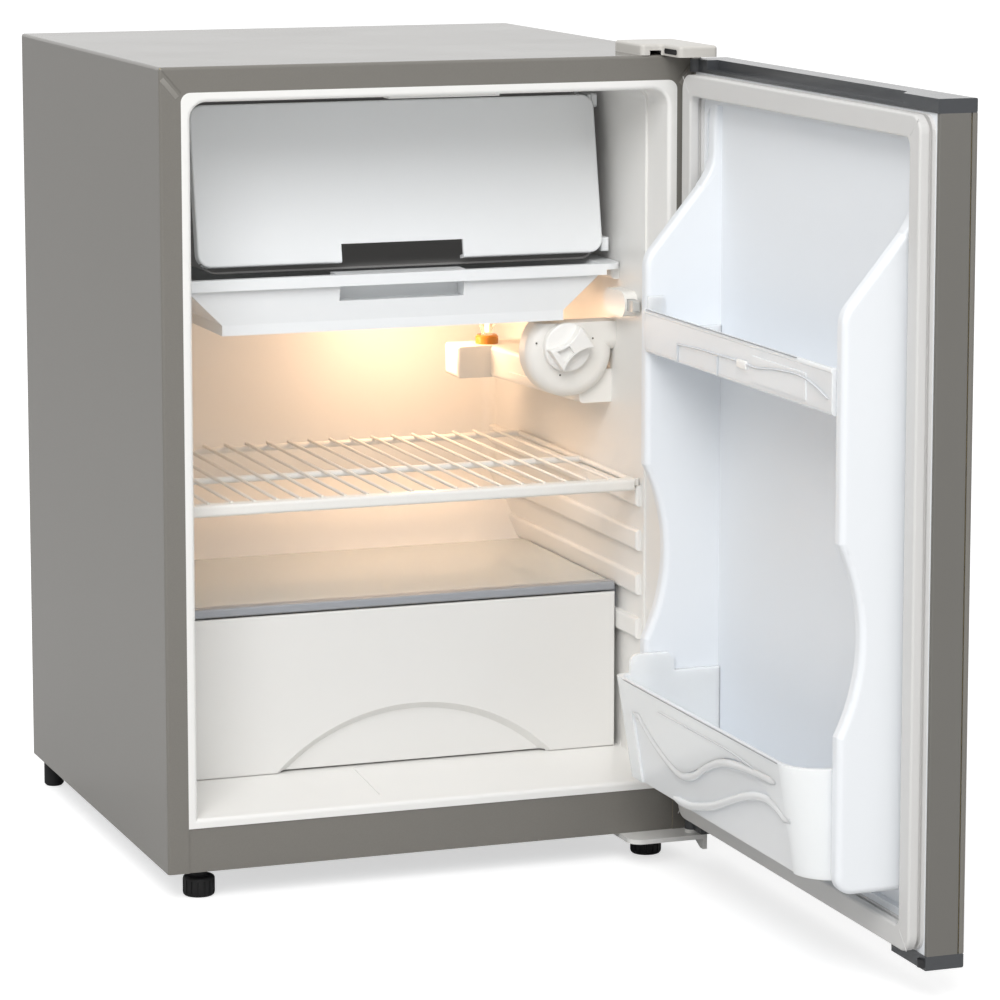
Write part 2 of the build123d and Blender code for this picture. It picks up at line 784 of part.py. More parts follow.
def wire_shelf_grid():
    """Side rods, cross bars and wires of the shelf, welded together."""
    side_z = shelf_rib_top + fit_gap + shelf_side_radius
    side_x = space_half - shelf_side_radius - 2 * fit_gap
    behind_rail = shelf_front + shelf_rail_depth
    grid = bar_y(-side_x, behind_rail, shelf_back, side_z, shelf_side_radius)
    grid += bar_y(side_x, behind_rail, shelf_back, side_z, shelf_side_radius)
    for y in (behind_rail + 2 * shelf_bar_radius, shelf_middle, shelf_back - 2 * shelf_bar_radius):
        grid += bar_x(-side_x, side_x, y, side_z, shelf_bar_radius)
    wire_z = side_z + shelf_bar_radius + shelf_wire_radius * 0.4
    for i in range(shelf_wire_count):
        x = (i - (shelf_wire_count - 1) / 2) * shelf_wire_pitch
        grid += bar_y(x, behind_rail, shelf_back, wire_z, shelf_wire_radius)
    return grid


def wire_shelf_rail():
    """The thick white rail along the shelf's front edge."""
    reach = space_half - rib_depth - 1
    centre = shelf_rib_top + fit_gap + shelf_side_radius
    low = centre - shelf_rail_height / 2 - shelf_rail_drop
    rail = block(-reach, reach, shelf_front, shelf_front + shelf_rail_depth, low, low + shelf_rail_height)
    rail = fillet(rail.faces().sort_by(Axis.Y)[0].edges(), 2.5)
    ears = block(-reach - rib_depth + 0.4, reach + rib_depth - 0.4, shelf_front + shelf_rail_depth / 2,
                 shelf_front + shelf_rail_depth, shelf_rib_top + fit_gap, low + shelf_rail_height)
    return rail + ears


def shelf_glass():
    """The pane over the crisper."""
    pane = block(-glass_half, glass_half, glass_front, glass_back, glass_z, glass_z + glass_thickness)
    return fillet(pane.edges().filter_by(Axis.Z).group_by(Axis.Y)[-1], 8)


def shelf_glass_trim():
    """The grey channel along the pane's front edge."""
    low = glass_z + glass_thickness / 2 - trim_height / 2
    front = glass_front - trim_depth / 2
    trim = block(-glass_half, glass_half, front, front + trim_depth, low, low + trim_height)
    trim = fillet(trim.faces().sort_by(Axis.Y)[0].edges().filter_by(Axis.X), 2)
    return trim - block(-half, half, glass_front, beyond, glass_z, glass_z + glass_thickness)


def shelf_glass_rails():
    """The side rails that sit on the liner's lowest ribs and carry the pane."""
    rail = block(space_half - glass_rail_width, space_half, glass_front + trim_depth / 2 + fit_gap,
                 hump_front, first_rib_top, glass_z - fit_gap)
    return [rail, mirror(rail, Plane.YZ)]


def arch(half_width, rise, y0, y1, flare):
    """A low round arch standing on the drawer's lower edge, wider in front by a flare."""
    radius = (half_width**2 + rise**2) / (2 * rise)
    centre = Pos(arch_place, crisper_foot + rise - radius)
    front, back = Circle(radius + flare), Circle(radius)
    disc = loft([Plane.XZ.offset(-y0) * centre * front, Plane.XZ.offset(-y1) * centre * back])
    return disc & block(-half, half, y0, y1, crisper_foot, crisper_top)


def crisper_drawer():
    """Vegetable drawer with a wide front and an arched hand-hold."""
    panel = block(-crisper_half, crisper_half, crisper_front, crisper_front + crisper_panel,
                  crisper_foot, crisper_top)
    panel = fillet(panel.faces().sort_by(Axis.Y)[0].edges(), 1.5)
    body_front = crisper_front + crisper_panel - 0.5
    body = block(-crisper_body_half, crisper_body_half, body_front, crisper_back,
                 crisper_bottom, crisper_body_top)
    body = fillet(body.faces().sort_by(Axis.Y)[-1].edges().filter_by(Axis.Z), 14)
    room = block(-crisper_body_half + crisper_wall, crisper_body_half - crisper_wall,
                 crisper_front + crisper_panel, crisper_back - crisper_wall,
                 crisper_bottom + crisper_wall, beyond)
    room = fillet(room.faces().sort_by(Axis.Y)[-1].edges().filter_by(Axis.Z), 14 - crisper_wall)
    room -= arch(arch_half + crisper_wall, arch_rise + crisper_wall, crisper_front,
                 crisper_front + arch_depth + crisper_wall, arch_flare)
    drawer = panel + body - room
    return drawer - arch(arch_half, arch_rise, crisper_front - 1, crisper_front + arch_depth, arch_flare)


def door_skin():
    """Outer steel sheet of the door with short folded sides."""
    skin = block(-half, half, door_front, door_front + skin_return, skin_bottom, skin_top)
    skin = fillet(skin.faces().sort_by(Axis.Y)[0].edges().filter_by(Axis.Z), fold_radius)
    return swung(skin - block(sheet - half, half - sheet, door_front + sheet, 0, 0, beyond))


def door_edge_strips():
    """The two strips that close the long edges of the door."""
    start = door_front + skin_return + strip_groove
    strips = []
    for side in (-1, 1):
        inner, outer = half - strip_thickness, half
        strip = block(inner, outer, start, axis_y, skin_bottom, skin_top)
        strip = fillet(strip.faces().sort_by(Axis.X)[-1].edges().filter_by(Axis.Z), 1)
        strips.append(swung(strip if side > 0 else mirror(strip, Plane.YZ)))
    return strips


def door_foam():
    """Foam core of the door."""
    return swung(block(-liner_half, liner_half, door_front + sheet, axis_y - door_liner_thickness,
                       skin_bottom, skin_top))


def top_cap():
    """Top end cap with a long finger groove on its inner edge and the boss for the hinge bush."""
    back = axis_y + 1
    cap = block(-half, half, door_front, back, skin_top, door_top)
    cap = fillet(cap.faces().sort_by(Axis.Y)[0].edges(), fold_radius)
    deep = back - groove_width
    plan = Polyline((groove_end, back + 1), (groove_end + groove_slant, deep), (groove_start, deep),
                    (groove_start, back + 1), close=True)
    groove = extrude(Pos(0, 0, door_top - groove_depth) * make_face(plan), groove_depth + 1)
    cap = cap - groove + post(axis_x, axis_y, skin_top, door_top, boss_radius)
    return cap - post(axis_x, axis_y, skin_top + 1, beyond, pin_radius + running_gap + bush_wall)


def upside_down(piece):
    """A top piece of the door turned over to serve at the bottom."""
    middle = (door_bottom + door_top) / 2
    return mirror(piece, Plane.XY.offset(middle))


def hinge_bush():
    """The sleeve in the top cap that turns on the hinge pin."""
    ring = post(axis_x, axis_y, skin_top + 1, door_top, pin_radius + running_gap + bush_wall)
    return ring - post(axis_x, axis_y, 0, beyond, pin_radius + running_gap)


def cap_plug():
    """The small stopper in the unused hinge place of the bottom cap."""
    plug = post(-axis_x, axis_y, skin_top + 3, door_top - 2, boss_radius * 0.8)
    return upside_down(plug)


def plugged(cap):
    """A cap with the seat of its stopper at the free corner."""
    seat = post(-axis_x, axis_y, skin_top + 3, door_top - 2, boss_radius * 0.8)
    return cap - seat


def dyke():
    """One upright wall of the door liner: sloped shoulder, scooped front and rounded foot."""
    start = recess_floor - 1
    dip = dyke_reach - scoop_depth
    middle = (scoop_top + scoop_bottom) / 2
    with BuildLine() as line:
        rise = Polyline((start, dyke_bottom), (start, dyke_top), (axis_y + 4, dyke_top))
        shoulder = Line(rise @ 1, (dyke_reach - 5, dyke_shoulder + 14))
        turn = ThreePointArc(shoulder @ 1, (dyke_reach - 1.4, dyke_shoulder + 7.5),
                             (dyke_reach, dyke_shoulder))
        straight = Line(turn @ 1, (dyke_reach, scoop_top))
        scoop = ThreePointArc(straight @ 1, (dip, middle), (dyke_reach, scoop_bottom))
        foot = Line(scoop @ 1, (dyke_reach, dyke_bottom + 14))
        heel = ThreePointArc(foot @ 1, (dyke_reach - 4.1, dyke_bottom + 4.1),
                             (dyke_reach - 14, dyke_bottom))
        Line(heel @ 1, rise @ 0)
    wall = extrude(Plane.YZ.offset(dyke_inner) * make_face(line.line), dyke_thickness)
    ends = wall.faces().filter_by(Axis.X)
    front_edges = [e for face in ends for e in face.edges() if e.center().Y > axis_y + 8]
    return fillet(front_edges, dyke_round)


def ledge(z_top):
    """The moulded ledge on a dyke that carries a bin."""
    return block(dyke_inner - ledge_depth, dyke_inner + 1, recess_floor + 12, dyke_reach - 8,
                 z_top - ledge_height, z_top)


def door_liner():
    """White moulded inner door: flange, recessed panel, two dykes and the bin ledges."""
    plate = block(-liner_half, liner_half, axis_y - door_liner_thickness, axis_y, skin_bottom, skin_top)
    edge = door_recess_margin
    plate -= rounded(edge - liner_half, liner_half - edge, skin_bottom + edge, skin_top - edge,
                     recess_floor, 0, liner_corner)
    wall = dyke() + ledge(upper_bin_bottom) + ledge(lower_bin_bottom)
    return swung(plate + wall + mirror(wall, Plane.YZ))


def gasket_ring(inset, width, y0, y1):
    """A rounded frame at the edge of the door."""
    outer = liner_half - inset
    low, high = skin_bottom + inset, skin_top - inset
    ring = rounded(-outer, outer, low, high, y0, y1, liner_corner)
    return ring - rounded(width - outer, outer - width, low + width, high - width,
                          y0 - 1, y1 + 1, liner_corner / 2)


def door_gasket():
    """Magnetic door seal: a foot, a bellows groove and the wide magnet head."""
    front = -gasket_clear
    foot_end = axis_y + bellows
    head_start = foot_end + bellows
    seal = gasket_ring(gasket_inset, gasket_width, axis_y, foot_end)
    seal += gasket_ring(gasket_inset + bellows, gasket_width - 2 * bellows, foot_end, head_start)
    seal += gasket_ring(gasket_inset, gasket_width, head_start, front)
    face = seal.faces().sort_by(Axis.Y)[-1]
    return swung(fillet(face.outer_wire().edges() + face.inner_wires()[0].edges(), 2))


def upper_bin():
    """Clear upper door bin: floor, ends, and a front guard with a beaded rim and a raised panel."""
    reach = dyke_inner - bin_clear
    back = recess_floor + bin_clear
    low, high = upper_bin_bottom, upper_bin_bottom + upper_bin_height
    body = block(-reach, reach, back, upper_bin_reach, low, high)
    body = fillet(body.faces().sort_by(Axis.Y)[-1].edges().filter_by(Axis.X), 4)
    body -= block(bin_wall - reach, reach - bin_wall, back - 1, upper_bin_reach - bin_wall,
                  low + bin_wall, beyond)
    tab_back = dyke_reach - 3 * dyke_round
    body -= block(-half, half, -beyond, tab_back, low + upper_bin_height * 0.55, beyond)
    bead = bar_x(-reach, reach, upper_bin_reach - bin_wall / 2, high - bin_wall, bin_wall)
    raised = block(-reach * 0.75, -reach * 0.2, upper_bin_reach - bin_wall, upper_bin_reach + 0.8,
                   low + 6, high - 10)
    tab = block(reach - bin_wall, reach, tab_back, tab_back + bin_tab_width, low, high + bin_tab_height)
    tab &= block(-half, half, -beyond, upper_bin_reach - bin_wall, 0, beyond)
    return swung(body + bead + raised + tab)


def bin_outline(reach, inset, z):
    """Plan of the lower bin at a height: square at the hinge end, round at the free end."""
    side = dyke_inner - bin_clear - inset
    back = recess_floor + bin_clear
    front = reach - inset
    bend = lower_bin_corner - inset / 2
    with BuildSketch(Plane.XY.offset(z)) as plan:
        with BuildLine():
            FilletPolyline((side, back), (side, front), (-side, front), (-side, back),
                           radius=[bend / 3, bend])
            Line((-side, back), (side, back))
        make_face()
    return plan.sketch


def bin_body(inset, z0, z1):
    """The lower bin's body between two heights, made smaller by a wall."""
    slope = (lower_bin_reach_top - lower_bin_reach_bottom) / lower_bin_height

    def reach(z):
        return lower_bin_reach_bottom + (z - lower_bin_bottom) * slope
    return loft([bin_outline(reach(z0), inset, z0), bin_outline(reach(z1), inset, z1)])


def wave_cut(low_share, high_share):
    """Space in front of the bin below an S-shaped line, for its wave relief."""
    side = dyke_inner - lower_bin_corner
    low = lower_bin_bottom + lower_bin_height * low_share
    high = lower_bin_bottom + lower_bin_height * high_share
    with BuildSketch() as shape:
        with BuildLine():
            wave = Spline((-side, low), (-side * 0.2, high), (side * 0.45, low), (side, high))
            Polyline(wave @ 1, (side, lower_bin_bottom - 1), (-side, lower_bin_bottom - 1), wave @ 0)
        make_face()
    return along_y(shape.sketch, dyke_reach, lower_bin_reach_top + 1)


def lower_bin():
    """Clear lower door bin that swells out over the dykes, with a wave relief on its front."""
    top = lower_bin_bottom + lower_bin_height
    body = bin_body(0, lower_bin_bottom, top)
    room = bin_body(lower_bin_front_wall, lower_bin_bottom + bin_wall, top + 1)
    skin = bin_body(wave_relief, lower_bin_bottom, top + 1)
    relief = wave_cut(0.32, 0.72) - skin
    side = dyke_inner - bin_clear
    ear = block(side - lower_bin_front_wall, side, lower_bin_reach_bottom - lower_bin_ear_width,
                lower_bin_reach_bottom, top - 1, top + lower_bin_ear)
    ear = fillet(ear.edges().filter_by(Axis.X).group_by(Axis.Z)[-1], lower_bin_ear / 2)
    return swung(body - room - relief + ear)


def top_hinge_plate():
    """Upper hinge plate on the cabinet with its pin pointing down."""
    left = half - hinge_plate_width
    plate = block(left, half - 1, axis_y - 9, hinge_plate_back, cabinet_top, cabinet_top + hinge_plate)
    plate = fillet(plate.edges().filter_by(Axis.Z), 6)
    return plate + post(axis_x, axis_y, skin_top + 2, cabinet_top + 1, pin_radius)


def cover_shape(inset, top):
    """The top hinge cover's outline: a foot on the cabinet and an arm over the door."""
    right = half + cover_overhang - inset
    front = inset - cover_arm_front
    foot = block(cover_left + inset, right, inset, cover_back - inset, cabinet_top, top)
    return foot + block(cover_arm_left + inset, right, front, cover_back - inset, cabinet_top, top)


def top_hinge_cover():
    """Moulded cover over the upper hinge plate."""
    top = cabinet_top + cover_height
    cover = cover_shape(0, top)
    cover = fillet(cover.edges().filter_by(Axis.Z), 4)
    cover = fillet(cover.faces().sort_by(Axis.Z)[-1].edges(), 2.5)
    slot = block(cover_arm_left - cover_slot_width / 2, cover_arm_left + cover_slot_width / 2,
                 -1, 2 * cover_wall + 1, cabinet_top, cabinet_top + cover_slot_height)
    return cover - cover_shape(cover_wall, top - cover_wall) - slot


def top_hinge_screws():
    """Screw heads that hold the upper hinge plate."""
    left = half - hinge_plate_width
    z = cabinet_top + hinge_plate
    places = [(left + 9, 14), (left + 9, hinge_plate_back - 10), (half - 10, hinge_plate_back - 10)]
    return [post(x, y, z, z + screw_head, screw_radius) for x, y in places]


def lower_hinge_plate():
    """Bright lower hinge plate under the cabinet, with its pin and folded-down end tab."""
    top = cabinet_bottom
    right = half + cover_overhang
    plate = block(lower_plate_left, right, -lower_plate_front, lower_plate_back, top - lower_plate, top)
    plate = fillet(plate.edges().filter_by(Axis.Z).group_by(Axis.X)[0], 12)
    tab = [(-lower_plate_front, top), (-lower_plate_front, top - tab_drop),
           (6 - lower_plate_front, top - tab_drop), (0, top - lower_plate), (0, top)]
    plate += along_x(tab, right - lower_plate, right)
    plate += post(axis_x, axis_y, top - 1, skin_bottom - 2, pin_radius)
    return plate - post(foot_place_x, foot_place_y, 0, top + 1, neck_radius + 2 * fit_gap)


def hinge_washer():
    """The washer that carries the door on the lower pin."""
    ring = post(axis_x, axis_y, cabinet_bottom, door_bottom, boss_radius)
    return ring - post(axis_x, axis_y, 0, beyond, pin_radius + running_gap)


def lower_hinge_screws():
    """Screw heads under the lower hinge plate."""
    z = cabinet_bottom - lower_plate
    return [post(x, lower_plate_back - 10, z - screw_head, z, screw_radius)
            for x in (lower_plate_left + 10, axis_x - 6)]


def front_foot(side):
    """Levelling foot: a rounded pad, a neck and a threaded stud."""
    x, y = side * foot_place_x, foot_place_y
    pad = post(x, y, 0, foot_disc, foot_radius)
    pad = fillet(pad.faces().sort_by(Axis.Z)[-1].edges(), 3)
    pad = chamfer(pad.faces().sort_by(Axis.Z)[0].edges(), 3)
    neck = post(x, y, foot_disc - 1, cabinet_bottom - fit_gap, neck_radius)
    return pad + neck + post(x, y, foot_disc, cabinet_bottom + stud_length, stud_radius)


def rear_feet():
    """Two fixed feet under the compressor bar."""
    feet = []
    for side in (-1, 1):
        foot = post(side * rear_foot_x, rear_foot_y, 0, cabinet_bottom, rear_foot_radius)
        feet.append(chamfer(foot.faces().sort_by(Axis.Z)[0].edges(), 2))
    return feet


def compressor_bar():
    """The cross plate that carries the compressor, with stiffening lips."""
    inside = half - sheet
    bar = block(-inside, inside, bar_front, bar_back, cabinet_bottom, cabinet_bottom + bar_thickness)
    lip_top = cabinet_bottom + 4 * bar_thickness
    for y in (bar_front, bar_back - bar_thickness):
        bar += block(-inside, inside, y, y + bar_thickness, cabinet_bottom, lip_top)
    return bar


def grommet_places():
    """The four feet of the compressor."""
    spread_x, spread_y = compressor_radius * 1.25, (bar_back - bar_front) / 2 - 2.2 * grommet_radius
    middle = (bar_front + bar_back) / 2
    return [(compressor_x + i * spread_x, middle + j * spread_y) for i in (-1, 1) for j in (-1, 1)]


def compressor_grommets():
    """Rubber mounts between the bar and the compressor's foot plate."""
    low = cabinet_bottom + bar_thickness
    mounts = []
    for x, y in grommet_places():
        mount = post(x, y, low, low + grommet_height, grommet_radius)
        waist = post(x, y, low + grommet_height / 3, low + grommet_height * 2 / 3, grommet_radius + 1)
        waist -= post(x, y, low, low + grommet_height, grommet_radius - 2)
        mounts.append(mount - waist)
    return mounts


def compressor_base():
    """Height of the compressor's foot plate."""
    return cabinet_bottom + bar_thickness + grommet_height


def compressor_shell():
    """Welded two-part compressor can on its foot plate, with three pipe stubs."""
    low = compressor_base()
    can = post(compressor_x, compressor_y, low, low + compressor_height, compressor_radius)
    can = fillet(can.faces().sort_by(Axis.Z)[-1].edges(), compressor_dome)
    waist = low + compressor_height * 0.55
    can += post(compressor_x, compressor_y, waist, waist + 5, compressor_radius + 3)
    corners = grommet_places()
    xs, ys = [p[0] for p in corners], [p[1] for p in corners]
    plate = block(min(xs) - grommet_radius, max(xs) + grommet_radius, min(ys) - grommet_radius,
                  max(ys) + grommet_radius, low, low + 3)
    can += fillet(plate.edges().filter_by(Axis.Z), grommet_radius)
    for x, y, z in pipe_starts():
        can += bar_x(x, compressor_x, y, z, tube_radius + 1)
    return can


def pipe_starts():
    """Ends of the discharge and suction stubs on the compressor's left side."""
    x = compressor_x - compressor_radius - 14
    low = compressor_base()
    return [(x, compressor_y + 16, low + 30), (x, compressor_y - 6, low + 46)]


def relay_cover():
    """Starter and terminal cover on the compressor's side, with the gland for the mains lead."""
    x = compressor_x + compressor_radius - 4
    low = compressor_base() + 14
    y = compressor_y - relay_depth / 2
    cover = block(x, x + relay_width, y, y + relay_depth, low, low + relay_height)
    cover = fillet(cover.faces().sort_by(Axis.X)[-1].edges(), 5)
    cover -= post(compressor_x, compressor_y, 0, beyond, compressor_radius + 3.2)
    middle = x + relay_width * 0.65
    gland = bar_y(middle, y + relay_depth - 12, y + relay_depth + 8, low + 16, gland_radius + 3)
    hole = bar_y(middle, y + relay_depth - 8, y + relay_depth + 9, low + 16, gland_radius)
    return cover + gland - hole


def condensate_pan():
    """Pan on top of the compressor where the melt water dries off."""
    low = compressor_base() + compressor_height
    front, back = bay_front + 24, bar_back - 4
    pan = block(compressor_x - pan_half, compressor_x + pan_half, front, back, low, low + pan_height)
    pan = fillet(pan.edges().filter_by(Axis.Z), 12)
    room = block(compressor_x - pan_half + pan_wall, compressor_x + pan_half - pan_wall,
                 front + pan_wall, back - pan_wall, low + pan_wall, low + pan_height + 1)
    return pan - fillet(room.edges().filter_by(Axis.Z), 12 - pan_wall)


def drain_spout():
    """The spout that leads melt water from the liner down to the pan."""
    low = compressor_base() + compressor_height + pan_height * 0.6
    spout = post(compressor_x + pan_half / 2, bar_back - 34, low, cabinet_top, 7)
    return (spout - post(compressor_x + pan_half / 2, bar_back - 34, 0, cabinet_top, 5)) & bay(0)


def pass_height(i):
    """Height of one pass of the condenser tube."""
    return tube_top - i * tube_pitch


def condenser_tube():
    """Serpentine condenser tube behind the cabinet."""
    points = []
    for i in range(tube_passes):
        ends = (-tube_half, tube_half) if i % 2 == 0 else (tube_half, -tube_half)
        points += [(x, condenser_y, pass_height(i)) for x in ends]
    return tube(points, tube_radius, tube_pitch * 0.48)


def wire_place(i):
    """Place of one upright wire of the condenser; a negative count starts from the far end."""
    return (i % wire_count / (wire_count - 1) - 0.5) * 2 * (tube_half - tube_pitch * 0.6)


def condenser_wires():
    """Upright wires welded to both sides of the condenser tube."""
    low, high = pass_height(tube_passes - 1) - 6, pass_height(0) + 6
    wires = []
    for i in range(wire_count):
        x = wire_place(i)
        for side in (-1, 1):
            y = condenser_y + side * (tube_radius + wire_thick / 2)
            wires.append(block(x - wire_thick / 2, x + wire_thick / 2, y - wire_thick / 2, y + wire_thick / 2,
                               low, high))
    return wires


def condenser_clips():
    """Four clips that stand the condenser off the back panel."""
    clips = []
    for i in (1, tube_passes - 2):
        for x in ((wire_place(0) + wire_place(1)) / 2, (wire_place(-1) + wire_place(-2)) / 2):
            z = pass_height(i)
            clip = block(x - 2.5, x + 2.5, cabinet_depth, condenser_y + 6, z - 8, z + 8)
            clips.append(clip - bar_x(x - 4, x + 4, condenser_y, z, tube_radius + 0.05))
    return clips


def discharge_tube():
    """Hot gas tube from the compressor up to the head of the condenser."""
    x, y, z = pipe_starts()[0]
    points = [(x, y, z), (riser_x, y, z), (riser_x, condenser_y, z), (riser_x, condenser_y, pass_height(0)),
              (-tube_half, condenser_y, pass_height(0))]
    return tube(points, tube_radius, 3 * tube_radius + 2)


def suction_tube():
    """Return tube from the compressor up through the roof of the bay."""
    x, y, z = pipe_starts()[1]
    points = [(x, y, z), (x - suction_reach, y, z), (x - suction_reach, y, cabinet_top)]
    return tube(points, tube_radius + 0.6, 4 * tube_radius) & bay(0)


def filter_drier():
    """Copper filter drier below the foot of the condenser, with its outlet into the bay roof."""
    x, z = tube_half + drier_offset, pass_height(tube_passes - 1)
    high = z - drier_drop
    low = high - drier_length
    inlet = tube([(tube_half, condenser_y, z), (x, condenser_y, z), (x, condenser_y, high)],
                 tube_radius, 3 * tube_radius)
    can = post(x, condenser_y, low, high, drier_radius)
    can = fillet(can.edges().filter_by(GeomType.CIRCLE), drier_radius * 0.6)
    turn, inside = low - outlet_drop, condenser_y - outlet_reach
    outlet = tube([(x, condenser_y, low + 1), (x, condenser_y, turn), (x, inside, turn),
                   (x, inside, cabinet_top)], tube_radius * 0.6, 3 * tube_radius)
    outlet = outlet & (bay(0) + block(-half, half, cabinet_depth, beyond, 0, cabinet_top))
    return inlet + can + outlet


pieces = {
    "cabinet_wrapper": wrapper_shell(),
    "front_bottom_rail": front_bottom_rail(),
    "base_deck": base_deck(),
    "back_panel": back_panel(),
    "inner_liner": inner_liner(),
    "foam_insulation": foam_insulation(),
    "evaporator_box": evaporator_box(),
    "evaporator_hangers": evaporator_hangers(),
    "freezer_flap": freezer_flap(),
    "flap_brackets": flap_brackets(),
    "flap_catch": flap_catch(),
    "drip_tray": drip_tray(),
    "thermostat_housing": thermostat_housing(),
    "thermostat_knob": thermostat_knob(),
    "lamp_holder": lamp_holder(),
    "lamp_bulb": lamp_bulb(),
    "door_switch_body": door_switch_body(),
    "door_switch_button": door_switch_button(),
    "wire_shelf_grid": wire_shelf_grid(),
    "wire_shelf_rail": wire_shelf_rail(),
    "shelf_glass": shelf_glass(),
    "shelf_glass_trim": shelf_glass_trim(),
    "shelf_glass_rails": shelf_glass_rails(),
    "crisper_drawer": crisper_drawer(),
    "door_skin": door_skin(),
    "door_edge_strips": door_edge_strips(),
    "door_foam": door_foam(),
    "door_cap_top": swung(top_cap()),
    "door_cap_bottom": swung(upside_down(plugged(top_cap()))),
    "cap_plug": swung(cap_plug()),
    "hinge_bushes": [swung(hinge_bush()), swung(upside_down(hinge_bush()))],
    "door_liner": door_liner(),
    "door_gasket": door_gasket(),
    "upper_bin": upper_bin(),
    "lower_bin": lower_bin(),
    "top_hinge_plate": top_hinge_plate(),
    "top_hinge_cover": top_hinge_cover(),
    "top_hinge_screws": top_hinge_screws(),
    "lower_hinge_plate": lower_hinge_plate(),
    "hinge_washer": hinge_washer(),
    "lower_hinge_screws": lower_hinge_screws(),
    "front_foot_left": front_foot(-1),
    "front_foot_right": front_foot(1),
    "rear_feet": rear_feet(),
    "compressor_bar": compressor_bar(),
    "compressor_grommets": compressor_grommets(),
    "compressor_shell": compressor_shell(),
    "relay_cover": relay_cover(),
    "condensate_pan": condensate_pan(),
    "drain_spout": drain_spout(),
    "condenser_tube": condenser_tube(),
    "condenser_wires": condenser_wires(),
    "condenser_clips": condenser_clips(),
    "discharge_tube": discharge_tube(),
    "suction_tube": suction_tube(),
    "filter_drier": filter_drier(),
}

# The origin is on the floor, below the middle of the whole outline with the door open.
outline_right = axis_x + door_thickness
outline_front = axis_y - axis_x - half
outline_back = condenser_y + max(drier_radius, tube_radius + wire_thick)
to_origin = Pos(-(outline_right - half) / 2, -(outline_front + outline_back) / 2, 0)

os.makedirs("parts", exist_ok=True)
for name, piece in pieces.items():
    shapes = piece if isinstance(piece, list) else [piece]
    solids = [to_origin * solid for shape in shapes for solid in shape.solids()]
    export_step(solids[0] if len(solids) == 1 else Compound(children=solids), f"parts/{name}.step")

print("moved to the origin by", to_origin.position)
print("hinge axis", to_origin.position + Vector(axis_x, axis_y, 0))
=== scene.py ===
"""A compact refrigerator with its door open: finishes, small fittings, studio and camera."""
import logging
import math
from collections.abc import Callable, Iterable
from dataclasses import dataclass
from enum import Enum, auto
from typing import Self

import bpy
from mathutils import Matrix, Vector
from mathutils.geometry import interpolate_bezier


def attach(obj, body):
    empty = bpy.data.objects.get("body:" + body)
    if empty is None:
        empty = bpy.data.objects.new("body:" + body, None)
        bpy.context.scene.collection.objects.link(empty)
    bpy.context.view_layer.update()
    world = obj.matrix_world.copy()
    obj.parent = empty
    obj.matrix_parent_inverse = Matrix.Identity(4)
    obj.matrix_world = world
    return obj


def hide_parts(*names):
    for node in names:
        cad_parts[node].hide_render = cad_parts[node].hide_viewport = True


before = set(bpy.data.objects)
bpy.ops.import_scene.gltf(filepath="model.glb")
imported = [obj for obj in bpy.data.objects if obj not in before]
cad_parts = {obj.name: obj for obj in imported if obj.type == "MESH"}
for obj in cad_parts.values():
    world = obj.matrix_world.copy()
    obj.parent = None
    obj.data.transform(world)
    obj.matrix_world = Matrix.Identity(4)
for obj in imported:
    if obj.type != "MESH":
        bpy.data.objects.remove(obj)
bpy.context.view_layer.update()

MM = 0.001
CABINET_SHIFT = (-13.0, -5.5)
SQUARE_ON = 0.9
MIX_FIRST, MIX_SECOND, MIX_RESULT = 6, 7, 2
QUARTER = math.pi / 2
ZERO = (0.0, 0.0, 0.0)
LYING = (QUARTER, 0.0, 0.0)
WHITE = (1.0, 1.0, 1.0, 1.0)
LOG = logging.getLogger("fridge")
Colour = tuple[int, int, int]
Span = tuple[float, float]
Place = tuple[float, float, float]
Path = tuple[Span, ...]
Socket = bpy.types.NodeSocket
Sockets = bpy.types.NodeOutputs
PointTest = Callable[[bpy.types.MeshVertex], bool]
FaceTest = Callable[[bpy.types.MeshPolygon], bool]
EdgeTest = Callable[[Vector, Vector], bool]


def linear(colour: Colour) -> tuple[float, ...]:
    """Turns a colour as a picture shows it, from 0 to 255, into linear light with a full alpha."""
    shares = (value / 255 for value in colour)
    return *(share / 12.92 if share <= 0.04045 else ((share + 0.055) / 1.055) ** 2.4 for share in shares), 1.0


class Surface(Enum):
    """The ways in which a surface takes light."""

    MOULDED = auto()
    PAINTED = auto()
    SOFT = auto()
    METAL = auto()
    GLASSY = auto()


